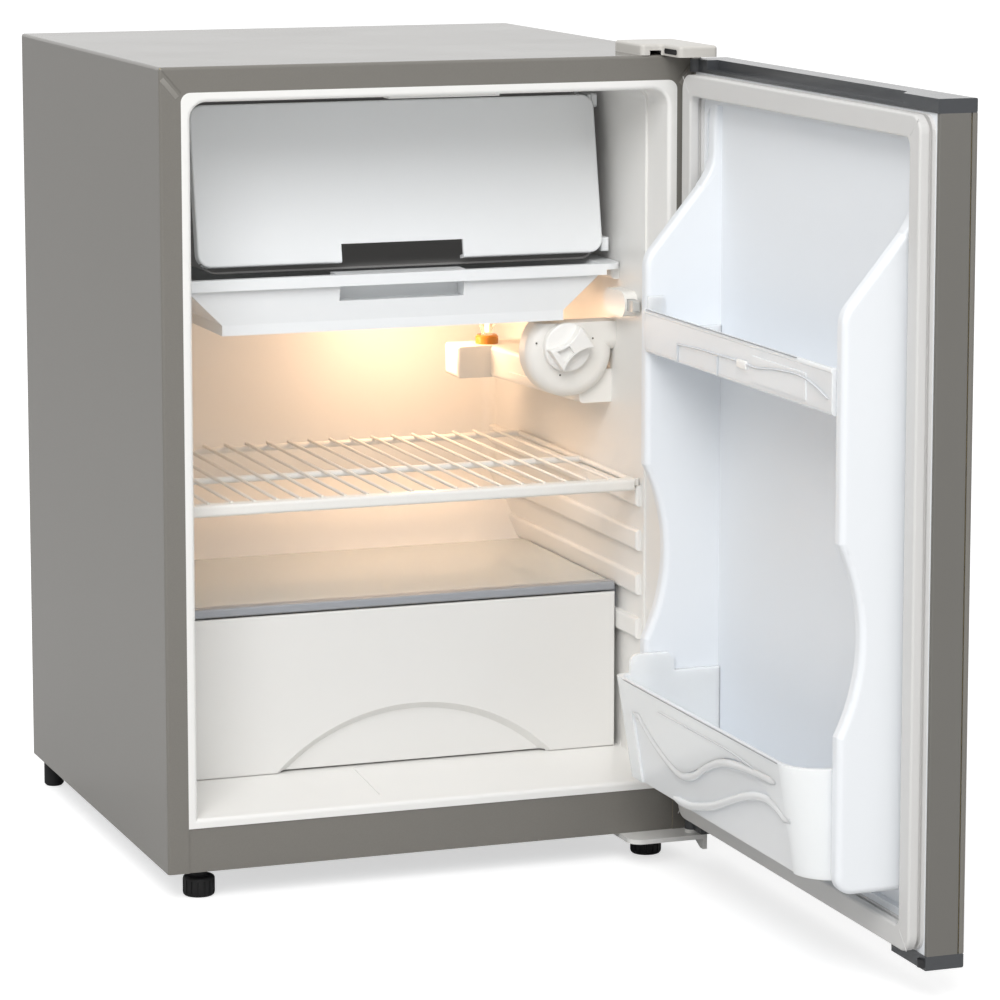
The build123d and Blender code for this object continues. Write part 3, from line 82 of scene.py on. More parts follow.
@dataclass
class Desk:
    """Lays out the nodes of one tree."""

    tree: bpy.types.NodeTree

    def add(self, kind: str, inputs: dict | None = None, **settings: object) -> bpy.types.Node:
        """Adds a node and fills its sockets.

        Args:
            kind: the node's type.
            inputs: values for its input sockets, or output sockets to link to them.
            settings: properties of the node itself.

        Returns:
            The new node.
        """
        node = self.tree.nodes.new(kind)
        for name, value in settings.items():
            setattr(node, name, value)
        for socket, value in (inputs or {}).items():
            self.feed(node, socket, value)
        return node

    def feed(self, node: bpy.types.Node, socket: str | int, value: object) -> None:
        """Links an output to a node's socket, or sets the socket to a value.

        Args:
            node: the node to feed.
            socket: name or number of its input.
            value: an output socket, a number, a vector or a colour.
        """
        target = node.inputs[socket]
        if isinstance(value, Socket):
            self.tree.links.new(value, target)
        else:
            target.default_value = value

    def math(self, operation: str, first: object, second: object) -> Socket:
        """Joins two numbers or sockets by arithmetic."""
        return self.add("ShaderNodeMath", {0: first, 1: second}, operation=operation).outputs[0]

    def noise(self, place: Socket, scale: object, detail: float) -> Socket:
        """Adds a noise texture with some finer layers, read at a place."""
        inputs = {"Vector": place, "Scale": scale, "Detail": detail}
        return self.add("ShaderNodeTexNoise", inputs).outputs["Fac"]

    def cells(self, place: Socket, scale: float, channel: int) -> Socket:
        """Adds a texture of cells and reads one channel of their random colours."""
        cells = self.add("ShaderNodeTexVoronoi", {"Vector": place, "Scale": scale})
        return self.add("ShaderNodeSeparateColor", {"Color": cells.outputs["Color"]}).outputs[channel]

    def spread(self, value: Socket, low: float, high: float) -> Socket:
        """Maps a value from 0..1 to another range."""
        inputs = {"Value": value, "To Min": low, "To Max": high}
        return self.add("ShaderNodeMapRange", inputs).outputs["Result"]

    def tint(self, colour: Socket, other: Socket, share: Socket) -> Socket:
        """Mixes a share of another colour into a colour."""
        inputs = {"Factor": share, MIX_FIRST: colour, MIX_SECOND: other}
        return self.add("ShaderNodeMix", inputs, data_type="RGBA").outputs[MIX_RESULT]


@dataclass(frozen=True)
class Effect:
    """A shared surface effect: a shader node group that gives a colour, a roughness and a height."""

    name: str
    detail: float
    polish: Span

    def group(self) -> bpy.types.NodeTree:
        """Finds the group or builds it.

        Returns:
            The node group.
        """
        found = bpy.data.node_groups.get(self.name)
        if found:
            return found
        tree = bpy.data.node_groups.new(self.name, "ShaderNodeTree")
        for name, kind in (("Place", "Vector"), ("Colour", "Color"), ("Shade", "Color"), ("Drift", "Float"),
                           ("Roughness", "Float"), ("Scale", "Float")):
            tree.interface.new_socket(name, in_out="INPUT", socket_type=f"NodeSocket{kind}")
        for name, kind in (("Colour", "Color"), ("Roughness", "Float"), ("Height", "Float")):
            tree.interface.new_socket(name, in_out="OUTPUT", socket_type=f"NodeSocket{kind}")
        desk = Desk(tree)
        given = desk.add("NodeGroupInput").outputs
        grain = desk.noise(self.place(desk, given), given["Scale"], self.detail)
        wear = desk.spread(self.wear(desk, given, grain), *self.polish)
        rough = desk.math("MULTIPLY", given["Roughness"], wear)
        desk.add("NodeGroupOutput", {"Colour": self.tone(desk, given), "Roughness": rough, "Height": grain})
        return tree

    def place(self, desk: Desk, given: Sockets) -> Socket:
        """Gives the coordinates that the grain reads."""
        return given["Place"]

    def wear(self, desk: Desk, given: Sockets, grain: Socket) -> Socket:
        """Gives what the roughness follows, here the grain."""
        return grain

    def tone(self, desk: Desk, given: Sockets) -> Socket:
        """Gives the surface's colour, here an even one."""
        return given["Colour"]


@dataclass(frozen=True)
class MouldGrain(Effect):
    """Fine pebbled skin of moulded plastic and rubber, with a slow drift of tone."""

    name: str = "mould_grain"
    detail: float = 4.0
    polish: Span = (0.82, 1.18)
    drift_scale: float = 5.0
    drift_detail: float = 3.0
    patch_scale: float = 22.0
    patch_detail: float = 5.0

    def wear(self, desk: Desk, given: Sockets, grain: Socket) -> Socket:
        """Lets the roughness follow broad patches."""
        return desk.noise(given["Place"], self.patch_scale, self.patch_detail)

    def tone(self, desk: Desk, given: Sockets) -> Socket:
        """Lets the colour drift slowly towards its shade."""
        slow = desk.noise(given["Place"], self.drift_scale, self.drift_detail)
        return desk.tint(given["Colour"], given["Shade"], desk.math("MULTIPLY", slow, given["Drift"]))


@dataclass(frozen=True)
class PaintPeel(MouldGrain):
    """Sprayed paint: a faint orange peel with tiny flakes that differ in tone."""

    name: str = "paint_peel"
    detail: float = 2.0
    polish: Span = (0.86, 1.14)
    drift_scale: float = 3.0
    patch_scale: float = 9.0
    patch_detail: float = 4.0
    flake_scale: float = 1700.0
    flake_most: float = 0.35

    def tone(self, desk: Desk, given: Sockets) -> Socket:
        """Lays flakes of the shade over the drifting colour."""
        flakes = desk.spread(desk.cells(given["Place"], self.flake_scale, 0), 0.0, self.flake_most)
        return desk.tint(super().tone(desk, given), given["Shade"], flakes)


@dataclass(frozen=True)
class RolledSheet(Effect):
    """Rolled or brushed sheet: long fine scratches along one way, with crystal patches of tone."""

    name: str = "rolled_sheet"
    detail: float = 3.0
    polish: Span = (0.7, 1.3)
    stretch: Place = (0.05, 1.0, 1.0)
    crystal_scale: float = 110.0

    def place(self, desk: Desk, given: Sockets) -> Socket:
        """Stretches the grain into long scratches."""
        return desk.add("ShaderNodeMapping", {"Vector": given["Place"], "Scale": self.stretch}).outputs[0]

    def tone(self, desk: Desk, given: Sockets) -> Socket:
        """Tints the colour in patches like those of a zinc coat."""
        share = desk.math("MULTIPLY", desk.cells(given["Place"], self.crystal_scale, 1), given["Drift"])
        return desk.tint(given["Colour"], given["Shade"], share)


MOULDED, PAINTED, SOFT, METAL, GLASSY = Surface
EFFECTS = {MOULDED: MouldGrain(), PAINTED: PaintPeel(), SOFT: MouldGrain(), METAL: RolledSheet(),
           GLASSY: MouldGrain()}


@dataclass(frozen=True)
class Finish:
    """One finish: what it is made of, its colours and how its surface feels."""

    name: str
    surface: Surface
    colour: Colour
    shade: Colour
    roughness: float
    drift: float = 0.3
    scale: float = 900.0
    relief: float = 0.02
    relief_strength: float = 0.5
    glow: float = 0.0
    through: float = 0.0
    milky: float = 0.0
    milk_depth: float = 6.0
    bend: float = 1.5
    dullness: float = 0.3

    def material(self) -> bpy.types.Material:
        """Finds the finish's material or builds it.

        Returns:
            The material.
        """
        label = f"{self.name}_dressed"
        found = bpy.data.materials.get(label)
        if found:
            return found
        material = bpy.data.materials.new(label)
        material.use_nodes = True
        material.node_tree.nodes.clear()
        desk = Desk(material.node_tree)
        inputs = {"Place": desk.add("ShaderNodeTexCoord").outputs["Object"], "Colour": linear(self.colour),
                  "Shade": linear(self.shade), "Drift": self.drift, "Roughness": self.roughness,
                  "Scale": self.scale}
        effect = desk.add("ShaderNodeGroup", inputs, node_tree=EFFECTS[self.surface].group()).outputs
        bump = desk.add("ShaderNodeBump", {"Height": effect["Height"], "Strength": self.relief_strength,
                                           "Distance": self.relief * MM})
        shader = desk.add("ShaderNodeBsdfPrincipled", {
            "Base Color": effect["Colour"], "Roughness": effect["Roughness"],
            "Normal": bump.outputs["Normal"]})
        self.set_plain(shader)
        desk.add("ShaderNodeOutputMaterial", {"Surface": shader.outputs["BSDF"]})
        return material

    def set_plain(self, shader: bpy.types.Node) -> None:
        """Sets the values that are the same all over the surface.

        Args:
            shader: the material's shader.
        """
        plain: dict[str, object] = {"Emission Color": linear(self.colour), "Emission Strength": self.glow}
        match self.surface:
            case Surface.METAL:
                plain["Metallic"] = 1.0
            case Surface.GLASSY:
                plain.update({"Transmission Weight": self.through, "IOR": self.bend,
                              "Subsurface Weight": self.milky, "Subsurface Radius": (1.0, 1.0, 1.0),
                              "Subsurface Scale": self.milk_depth * MM})
            case Surface.SOFT:
                plain["Specular IOR Level"] = self.dullness
        for socket, value in plain.items():
            shader.inputs[socket].default_value = value


GREY_PAINT = Finish("grey_paint", PAINTED, (124, 121, 115), (114, 111, 105), 0.2, scale=420.0, relief=0.03)
# Painted highlight: a lighter copy of the grey paint for the lapped corner strips, standing in for the light
# band along the laps.
LAP_HIGHLIGHT_GREY = Finish("lap_grey_painted_highlight", PAINTED, (140, 137, 131), (128, 125, 119), 0.3, scale=420.0, relief=0.03)
EDGE_GREY = Finish("edge_grey", MOULDED, (110, 108, 103), (100, 98, 94), 0.42)
SLATE = Finish("slate_plastic", MOULDED, (72, 74, 77), (60, 62, 64), 0.18, scale=1400.0, relief=0.04)
# Painted light: the hinge cover's grey is much lighter than the cabinet's paint, standing in for the light
# that falls on the top.
COVER_LIT_GREY = Finish("cover_grey", MOULDED, (204, 201, 195), (194, 191, 185), 0.38)
LINER_WHITE = Finish("liner_white", MOULDED, (240, 239, 236), (232, 231, 228), 0.34)
DOOR_WHITE = Finish("door_white", MOULDED, (236, 239, 242), (230, 233, 237), 0.36)
FLAP_WHITE = Finish("flap_white", MOULDED, (243, 245, 246), (236, 238, 240), 0.32)
CONTROL_WHITE = Finish("control_white", MOULDED, (240, 238, 233), (233, 231, 226), 0.4)
KNOB_WHITE = Finish("knob_white", MOULDED, (246, 245, 242), (238, 237, 234), 0.45)
CRISPER_WHITE = Finish("crisper_white", MOULDED, (232, 231, 228), (225, 224, 221), 0.4)
WIRE_WHITE = Finish("wire_white", PAINTED, (240, 238, 233), (230, 228, 223), 0.35)
BUTTON_GREY = Finish("button_grey", MOULDED, (196, 196, 193), (184, 184, 181), 0.4)
CLEAR = Finish("clear_plastic", GLASSY, (244, 249, 255), (239, 246, 254), 0.22, through=0.06, milky=1.0)
# Painted shade: a slightly darker copy of the clear plastic, so that the moulded lines and uprights of the
# bins read as shaded lines.
SHADED_BIN_LINE = Finish("bin_line", GLASSY, (220, 223, 227), (212, 215, 220), 0.22, through=0.06)
PANE = Finish("shelf_glass", GLASSY, (240, 244, 241), (233, 238, 234), 0.06, through=0.35)
TRIM_GREY = Finish("trim_grey", MOULDED, (158, 161, 166), (146, 149, 154), 0.34)
# Painted shade and painted glow: the freezer box gets a dark charcoal that stands in for the shade inside it,
# and a faint glow that lifts this shade, though the box is no lamp.
SHADE_CHARCOAL_GLOW = Finish("charcoal_coat", PAINTED, (112, 111, 110), (100, 99, 98), 0.5, glow=0.2)
SEAL_GREY = Finish("seal_grey", SOFT, (212, 211, 209), (203, 202, 200), 0.55, scale=1500.0)
FOAM = Finish("foam", SOFT, (226, 208, 150), (205, 184, 122), 0.9, drift=0.7, scale=350.0, relief=0.4)
GALVANISED = Finish("galvanised", METAL, (196, 199, 202), (170, 174, 178), 0.38, drift=0.8)
# Zinc-plated steel, partly painted reflection: a light non-metal grey stands in for the bright reflection of
# the plating on the hinge plates.
PLATED_REFLECTION = Finish("plated_steel_painted_reflection", PAINTED, (232, 231, 228), (220, 219, 216), 0.25)
ZINC = Finish("zinc", METAL, (205, 204, 200), (188, 187, 184), 0.2)
BLACK_RUBBER = Finish("black_rubber", SOFT, (24, 24, 25), (34, 34, 35), 0.6, scale=1200.0)
BLACK_PLASTIC = Finish("black_plastic", MOULDED, (30, 30, 32), (40, 40, 42), 0.42, relief=0.05)
BLACK_PAINT = Finish("black_paint", PAINTED, (26, 26, 27), (36, 36, 37), 0.36)
COPPER = Finish("copper", METAL, (208, 140, 104), (170, 104, 74), 0.28, drift=0.6)
AMBER = Finish("amber_plastic", MOULDED, (196, 128, 40), (150, 92, 24), 0.3)
BULB_GLASS = Finish("bulb_glass", GLASSY, (255, 244, 226), (255, 236, 208), 0.05, through=0.95)
LAMP = Finish("lamp_wire", MOULDED, (255, 226, 178), (255, 210, 150), 0.2, glow=3.0)

DRESS: dict[Finish, tuple[str, ...]] = {
    GREY_PAINT: ("cabinet_wrapper", "front_bottom_rail", "door_skin"),
    EDGE_GREY: ("door_edge_strips",),
    SLATE: ("door_cap_top", "door_cap_bottom"),
    # painted light on the hinge cover
    COVER_LIT_GREY: ("top_hinge_cover",),
    LINER_WHITE: ("inner_liner", "evaporator_hangers", "hinge_bushes", "hinge_washer"),
    DOOR_WHITE: ("door_liner",),
    FLAP_WHITE: ("freezer_flap", "flap_catch", "flap_brackets", "drip_tray"),
    CONTROL_WHITE: ("thermostat_housing", "door_switch_body"),
    KNOB_WHITE: ("thermostat_knob",),
    CRISPER_WHITE: ("crisper_drawer",),
    WIRE_WHITE: ("wire_shelf_grid", "wire_shelf_rail"),
    BUTTON_GREY: ("door_switch_button",),
    CLEAR: ("upper_bin", "lower_bin"),
    PANE: ("shelf_glass",),
    TRIM_GREY: ("shelf_glass_trim", "shelf_glass_rails"),
    # painted shade with a painted glow on the freezer box
    SHADE_CHARCOAL_GLOW: ("evaporator_box",),
    SEAL_GREY: ("door_gasket",),
    FOAM: ("foam_insulation", "door_foam"),
    GALVANISED: ("back_panel", "base_deck", "compressor_bar"),
    # hinge plates, partly painted reflection
    PLATED_REFLECTION: ("top_hinge_plate", "lower_hinge_plate"),
    ZINC: ("top_hinge_screws", "lower_hinge_screws"),
    BLACK_RUBBER: ("front_foot_left", "front_foot_right", "rear_feet", "compressor_grommets"),
    BLACK_PLASTIC: ("relay_cover", "cap_plug", "condenser_clips", "drain_spout", "condensate_pan"),
    BLACK_PAINT: ("compressor_shell", "condenser_tube", "condenser_wires", "discharge_tube"),
    COPPER: ("filter_drier", "suction_tube"),
    AMBER: ("lamp_holder",),
}


def paint(obj: bpy.types.Object, finish: Finish) -> None:
    """Gives a piece one finish all over.

    Args:
        obj: the piece.
        finish: its finish.
    """
    material = finish.material()
    if not obj.material_slots:
        obj.data.materials.append(material)
    for slot in obj.material_slots:
        slot.material = material


def dress_nodes() -> None:
    """Gives every solid its finish."""
    for finish, names in DRESS.items():
        for name in names:
            paint(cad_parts[name], finish)
            LOG.info("%s in %s", name, finish.name)


def facing(x: int = 0, y: int = 0, z: int = 0) -> FaceTest:
    """Gives a test of whether a face looks along one way."""
    return lambda face: face.normal.dot(Vector((x, y, z))) > SQUARE_ON


def at(x: float, y: float, z: float) -> Place:
    """Places a point in millimetres from the cabinet's middle, front plane and floor in the shared frame."""
    return (x + CABINET_SHIFT[0]) * MM, (y + CABINET_SHIFT[1]) * MM, z * MM


@dataclass
class Workpiece:
    """One piece on the bench, shaped by operators; its object stays at the origin."""

    obj: bpy.types.Object

    @classmethod
    def started(cls, name: str, add: Callable[..., object], **settings: object) -> Self:
        """Starts from a primitive and puts its place into its mesh.

        Args:
            name: the piece's name.
            add: the operator that adds the primitive.
            settings: what the operator takes.

        Returns:
            The new workpiece.
        """
        bpy.ops.object.select_all(action="DESELECT")
        add(**settings)
        obj = bpy.context.object
        obj.name = obj.data.name = name
        bpy.ops.object.transform_apply(location=True, rotation=True, scale=True)
        return cls(obj)

    @classmethod
    def round_bar(cls, name: str, radius: float, depth: float, centre: Place, sides: int,
                  turn: Place = ZERO) -> Self:
        """Starts from a cylinder, turned from upright by angles about X, Y and Z."""
        return cls.started(name, bpy.ops.mesh.primitive_cylinder_add, vertices=sides, radius=radius,
                           depth=depth, location=centre, rotation=turn)

    @classmethod
    def box(cls, name: str, size: Place, centre: Place) -> Self:
        """Starts from a cube that is scaled to a size."""
        return cls.started(name, bpy.ops.mesh.primitive_cube_add, size=1.0, location=centre, scale=size)

    @classmethod
    def ring(cls, name: str, radius: float, thick: float, centre: Place, steps: tuple[int, int],
             turn: Place = ZERO) -> Self:
        """Starts from a torus with some steps around and across, turned by angles about X, Y and Z."""
        return cls.started(name, bpy.ops.mesh.primitive_torus_add, location=centre, rotation=turn,
                           major_segments=steps[0], minor_segments=steps[1], major_radius=radius,
                           minor_radius=thick)

    def hold(self) -> None:
        """Makes this the only selected piece."""
        bpy.ops.object.select_all(action="DESELECT")
        self.obj.select_set(True)
        bpy.context.view_layer.objects.active = self.obj

    def on_points(self, test: PointTest) -> Self:
        """Opens the mesh with the points that pass a test selected."""
        return self.opened((True, False, False), self.obj.data.vertices, test)

    def on_faces(self, test: FaceTest) -> Self:
        """Opens the mesh with the faces that pass a test selected."""
        return self.opened((False, False, True), self.obj.data.polygons, test)

    def on_edges(self, test: EdgeTest) -> Self:
        """Opens the mesh with the edges whose two ends pass a test selected."""
        points = self.obj.data.vertices
        return self.opened((False, True, False), self.obj.data.edges,
                           lambda edge: test(*(points[i].co for i in edge.vertices)))

    def opened(self, mode: tuple[bool, bool, bool], items: Iterable, test: Callable[[object], bool]) -> Self:
        """Selects some points, edges or faces and goes into edit mode.

        Args:
            mode: Blender's selection mode.
            items: the mesh's points, edges or faces.
            test: tells which of them are wanted.

        Returns:
            This workpiece.
        """
        self.hold()
        bpy.context.tool_settings.mesh_select_mode = mode
        mesh = self.obj.data
        for group in (mesh.vertices, mesh.edges, mesh.polygons):
            group.foreach_set("select", [False] * len(group))
        for item in items:
            item.select = test(item)
        bpy.ops.object.mode_set(mode="EDIT")
        return self

    def done(self) -> Self:
        """Closes the mesh again."""
        bpy.ops.object.mode_set(mode="OBJECT")
        return self

    def drawn(self, x: float = 0.0, y: float = 0.0, z: float = 0.0, spread: float = 1.0) -> Self:
        """Extrudes what is selected and then scales it about its middle.

        Args:
            x: the way along X.
            y: the way along Y.
            z: the way along Z.
            spread: how much wider it gets.

        Returns:
            This workpiece.
        """
        bpy.ops.mesh.extrude_region_move(TRANSFORM_OT_translate={"value": (x, y, z)})
        if spread != 1.0:
            bpy.ops.transform.resize(value=(spread, spread, spread))
        return self

    def inset(self, width: float, depth: float = 0.0, each: bool = False) -> Self:
        """Insets the selected faces, each by itself if asked, and moves them out by the depth."""
        bpy.ops.mesh.inset(thickness=width, depth=depth, use_individual=each)
        return self

    def bevelled(self, width: float, steps: int) -> Self:
        """Rounds the selected edges."""
        bpy.ops.mesh.bevel(offset=width, segments=steps, affect="EDGES")
        return self

    def softened(self, width: float, steps: int = 2, angle: float = 40.0) -> Self:
        """Rounds every sharp edge with an applied bevel.

        Args:
            width: the bevel's width.
            steps: how many steps it has.
            angle: the least angle of an edge that is rounded, in degrees.

        Returns:
            This workpiece.
        """
        self.hold()
        bevel = self.obj.modifiers.new("soften", "BEVEL")
        bevel.width, bevel.segments, bevel.angle_limit = width, steps, math.radians(angle)
        bpy.ops.object.modifier_apply(modifier=bevel.name)
        return self

    def cut_by(self, tool: Self) -> Self:
        """Cuts another workpiece's shape out of this one and throws the other away.

        Args:
            tool: the other workpiece.

        Returns:
            This workpiece.
        """
        self.hold()
        cut = self.obj.modifiers.new("cut", "BOOLEAN")
        cut.object, cut.solver = tool.obj, "EXACT"
        bpy.ops.object.modifier_apply(modifier=cut.name)
        tool.scrapped()
        return self

    def joined(self, other: Self) -> Self:
        """Takes another workpiece into this mesh.

        Args:
            other: the other workpiece.

        Returns:
            This workpiece.
        """
        self.hold()
        other.obj.select_set(True)
        bpy.ops.object.join()
        return self

    def smoothed(self, angle: float = 35.0) -> Self:
        """Shades the piece smooth, with sharp edges kept.

        Args:
            angle: the least angle of an edge that stays sharp, in degrees.

        Returns:
            This workpiece.
        """
        self.hold()
        bpy.ops.object.shade_smooth_by_angle(angle=math.radians(angle))
        return self

    def copied(self, name: str, to: Place, turn: Place = ZERO) -> Self:
        """Copies the piece, with a mesh of its own, turned about the origin and then moved.

        Args:
            name: the copy's name.
            to: how far it is moved.
            turn: how it is turned, as angles about X, Y and Z.

        Returns:
            The copy.
        """
        twin = self.obj.copy()
        twin.data = self.obj.data.copy()
        twin.name = twin.data.name = name
        bpy.context.collection.objects.link(twin)
        twin.location, twin.rotation_euler = to, turn
        piece = type(self)(twin)
        piece.hold()
        bpy.ops.object.transform_apply(location=True, rotation=True, scale=True)
        return piece

    def scrapped(self) -> None:
        """Throws the piece away."""
        bpy.data.objects.remove(self.obj)

    def fitted(self, body: str, slot: str, finish: Finish, *nodes: str) -> None:
        """Dresses the piece and says what it rides on and stands for.

        Args:
            body: the body that carries it.
            slot: the record's slot that its finish comes from; not used.
            finish: its finish.
            nodes: the solids that it takes the place of.
        """
        paint(self.obj, finish)
        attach(self.obj, body)
        if nodes:
            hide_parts(*nodes)
        LOG.info("%s in %s on %s", self.obj.name, finish.name, body)


@dataclass
class Fasteners:
    """Cross-head screws of the hinges and the back panel, and the bolts of the compressor's mounts."""

    head_radius: float = 4.0 * MM
    head_height: float = 2.4 * MM
    head_sides: int = 28
    dome: float = 0.55
    cross_width: float = 0.9 * MM
    cross_reach: float = 2.1 * MM
    bolt_radius: float = 5.6 * MM
    bolt_height: float = 4.4 * MM
    washer_radius: float = 8.4 * MM
    washer_share: float = 0.3
    washer_sides: int = 32
    washer_round: float = 0.25 * MM
    hexagon_share: float = 0.75
    hexagon_middle: float = 0.66
    hexagon_round: float = 0.2 * MM
    crown: Span = (0.16, 0.1)
    top_places: tuple[Place, ...] = ((216, 14, 698.5), (216, 48, 698.5), (225, 48, 698.5))
    low_places: tuple[Place, ...] = ((178, 30, 21.5), (223, 30, 21.5))
    bolt_places: tuple[Place, ...] = ((-112.5, 374, 43), (-112.5, 436, 43), (12.5, 374, 43), (12.5, 436, 43))
    back_side: float = 225.0
    back_plane: float = 466.0
    back_heights: tuple[float, ...] = (296.0, 394.0, 492.0, 590.0, 682.0)

    def build(self) -> None:
        """Models one screw and one bolt, and copies them to their places."""
        screw, bolt = self.screw(), self.bolt()
        left, right = ([(side * self.back_side, self.back_plane, height) for height in self.back_heights]
                       for side in (-1, 1))
        for piece, name, places, turn, nodes in (
                (screw, "top_hinge_screw", self.top_places, 0.0, ("top_hinge_screws",)),
                (screw, "lower_hinge_screw", self.low_places, math.pi, ("lower_hinge_screws",)),
                (screw, "back_screw_left", left, -QUARTER, ()),
                (screw, "back_screw_right", right, -QUARTER, ()),
                (bolt, "mount_bolt", self.bolt_places, 0.0, ())):
            for i, place in enumerate(places):
                copy = piece.copied(f"{name}_{i}", at(*place), (turn, 0.0, 0.0))
                copy.fitted("cabinet", "zinc", ZINC, *nodes)
        screw.scrapped()
        bolt.scrapped()

    def screw(self) -> Workpiece:
        """Models a domed screw head with a cross recess, standing on the origin.

        Returns:
            The screw head.
        """
        high, width = self.head_height, self.cross_width
        head = Workpiece.round_bar("screw", self.head_radius, high, (0.0, 0.0, high / 2), self.head_sides)
        head.on_edges(lambda a, b: min(a.z, b.z) > high * SQUARE_ON).bevelled(high * self.dome, 4).done()
        cross = Workpiece.box("cross", (width, width, high), (0.0, 0.0, high))
        cross.on_faces(lambda face: abs(face.normal.z) < SQUARE_ON)
        bpy.ops.mesh.extrude_faces_move(TRANSFORM_OT_shrink_fatten={"value": self.cross_reach - width / 2})
        return head.cut_by(cross.done()).smoothed()

    def bolt(self) -> Workpiece:
        """Models a hexagon head on a round washer, standing on the origin.

        Returns:
            The bolt's head and washer.
        """
        radius, high = self.bolt_radius, self.bolt_height
        thick = high * self.washer_share
        washer = Workpiece.round_bar("bolt", self.washer_radius, thick, (0.0, 0.0, thick / 2),
                                     self.washer_sides).softened(self.washer_round)
        head = Workpiece.round_bar("hexagon", radius, high * self.hexagon_share,
                                   (0.0, 0.0, high * self.hexagon_middle), 6)
        head.on_faces(facing(z=1)).inset(radius * self.crown[0], high * self.crown[1]).done()
        return washer.joined(head.softened(self.hexagon_round)).smoothed()


@dataclass
class LevellingFeet:
    """The two front feet: a ribbed rubber pad, a neck and a threaded stud."""

    side_place: float = 202.0
    front_place: float = 25.0
    pad_radius: float = 13.5 * MM
    pad_height: float = 17.0 * MM
    pad_round: float = 2.6 * MM
    sole_round: float = 3.0 * MM
    shoulder: float = 3.0 * MM
    neck_radius: float = 7.0 * MM
    neck_top: float = 25.2 * MM
    stud_radius: float = 4.0 * MM
    stud_top: float = 37.5 * MM
    groove_edge: float = 0.25 * MM
    groove_depth: float = 0.7 * MM
    groove_every: int = 3
    shade_angle: float = 28.0
    sides: int = 48

    def build(self) -> None:
        """Models one foot and copies it to both corners."""
        foot = self.foot()
        for side, name in ((-1, "front_foot_left"), (1, "front_foot_right")):
            piece = foot.copied(f"{name}_ribbed", at(side * self.side_place, self.front_place, 0.0))
            piece.fitted(name, "black_rubber", BLACK_RUBBER, name)
        foot.scrapped()

    def foot(self) -> Workpiece:
        """Models the foot about the origin: pad, neck, stud and grooves.

        Returns:
            The foot.
        """
        high, wide = self.pad_height, self.pad_radius
        foot = Workpiece.round_bar("foot", wide, high, (0.0, 0.0, high / 2), self.sides)
        foot.on_faces(facing(z=1)).inset(wide - self.neck_radius - self.shoulder).inset(self.shoulder)
        foot.drawn(z=self.neck_top - high).inset(self.neck_radius - self.stud_radius)
        foot.drawn(z=self.stud_top - self.neck_top).done()
        foot.on_edges(lambda a, b: min(a.z, b.z) > high * SQUARE_ON
                      and min(a.xy.length, b.xy.length) > wide * SQUARE_ON).bevelled(self.pad_round, 4).done()
        foot.on_edges(lambda a, b: max(a.z, b.z) < high * (1 - SQUARE_ON)).bevelled(self.sole_round, 3).done()
        foot.on_faces(self.is_groove).inset(self.groove_edge, -self.groove_depth, each=True).done()
        return foot.smoothed(self.shade_angle)

    def is_groove(self, face: bpy.types.MeshPolygon) -> bool:
        """Tells whether a face is one of the pad's upright faces that are sunk into grooves."""
        step = math.floor(math.atan2(face.center.y, face.center.x) / math.tau * self.sides)
        return (step % self.groove_every == 0 and abs(face.normal.z) < 1 - SQUARE_ON
                and face.center.xy.length > self.pad_radius * SQUARE_ON)


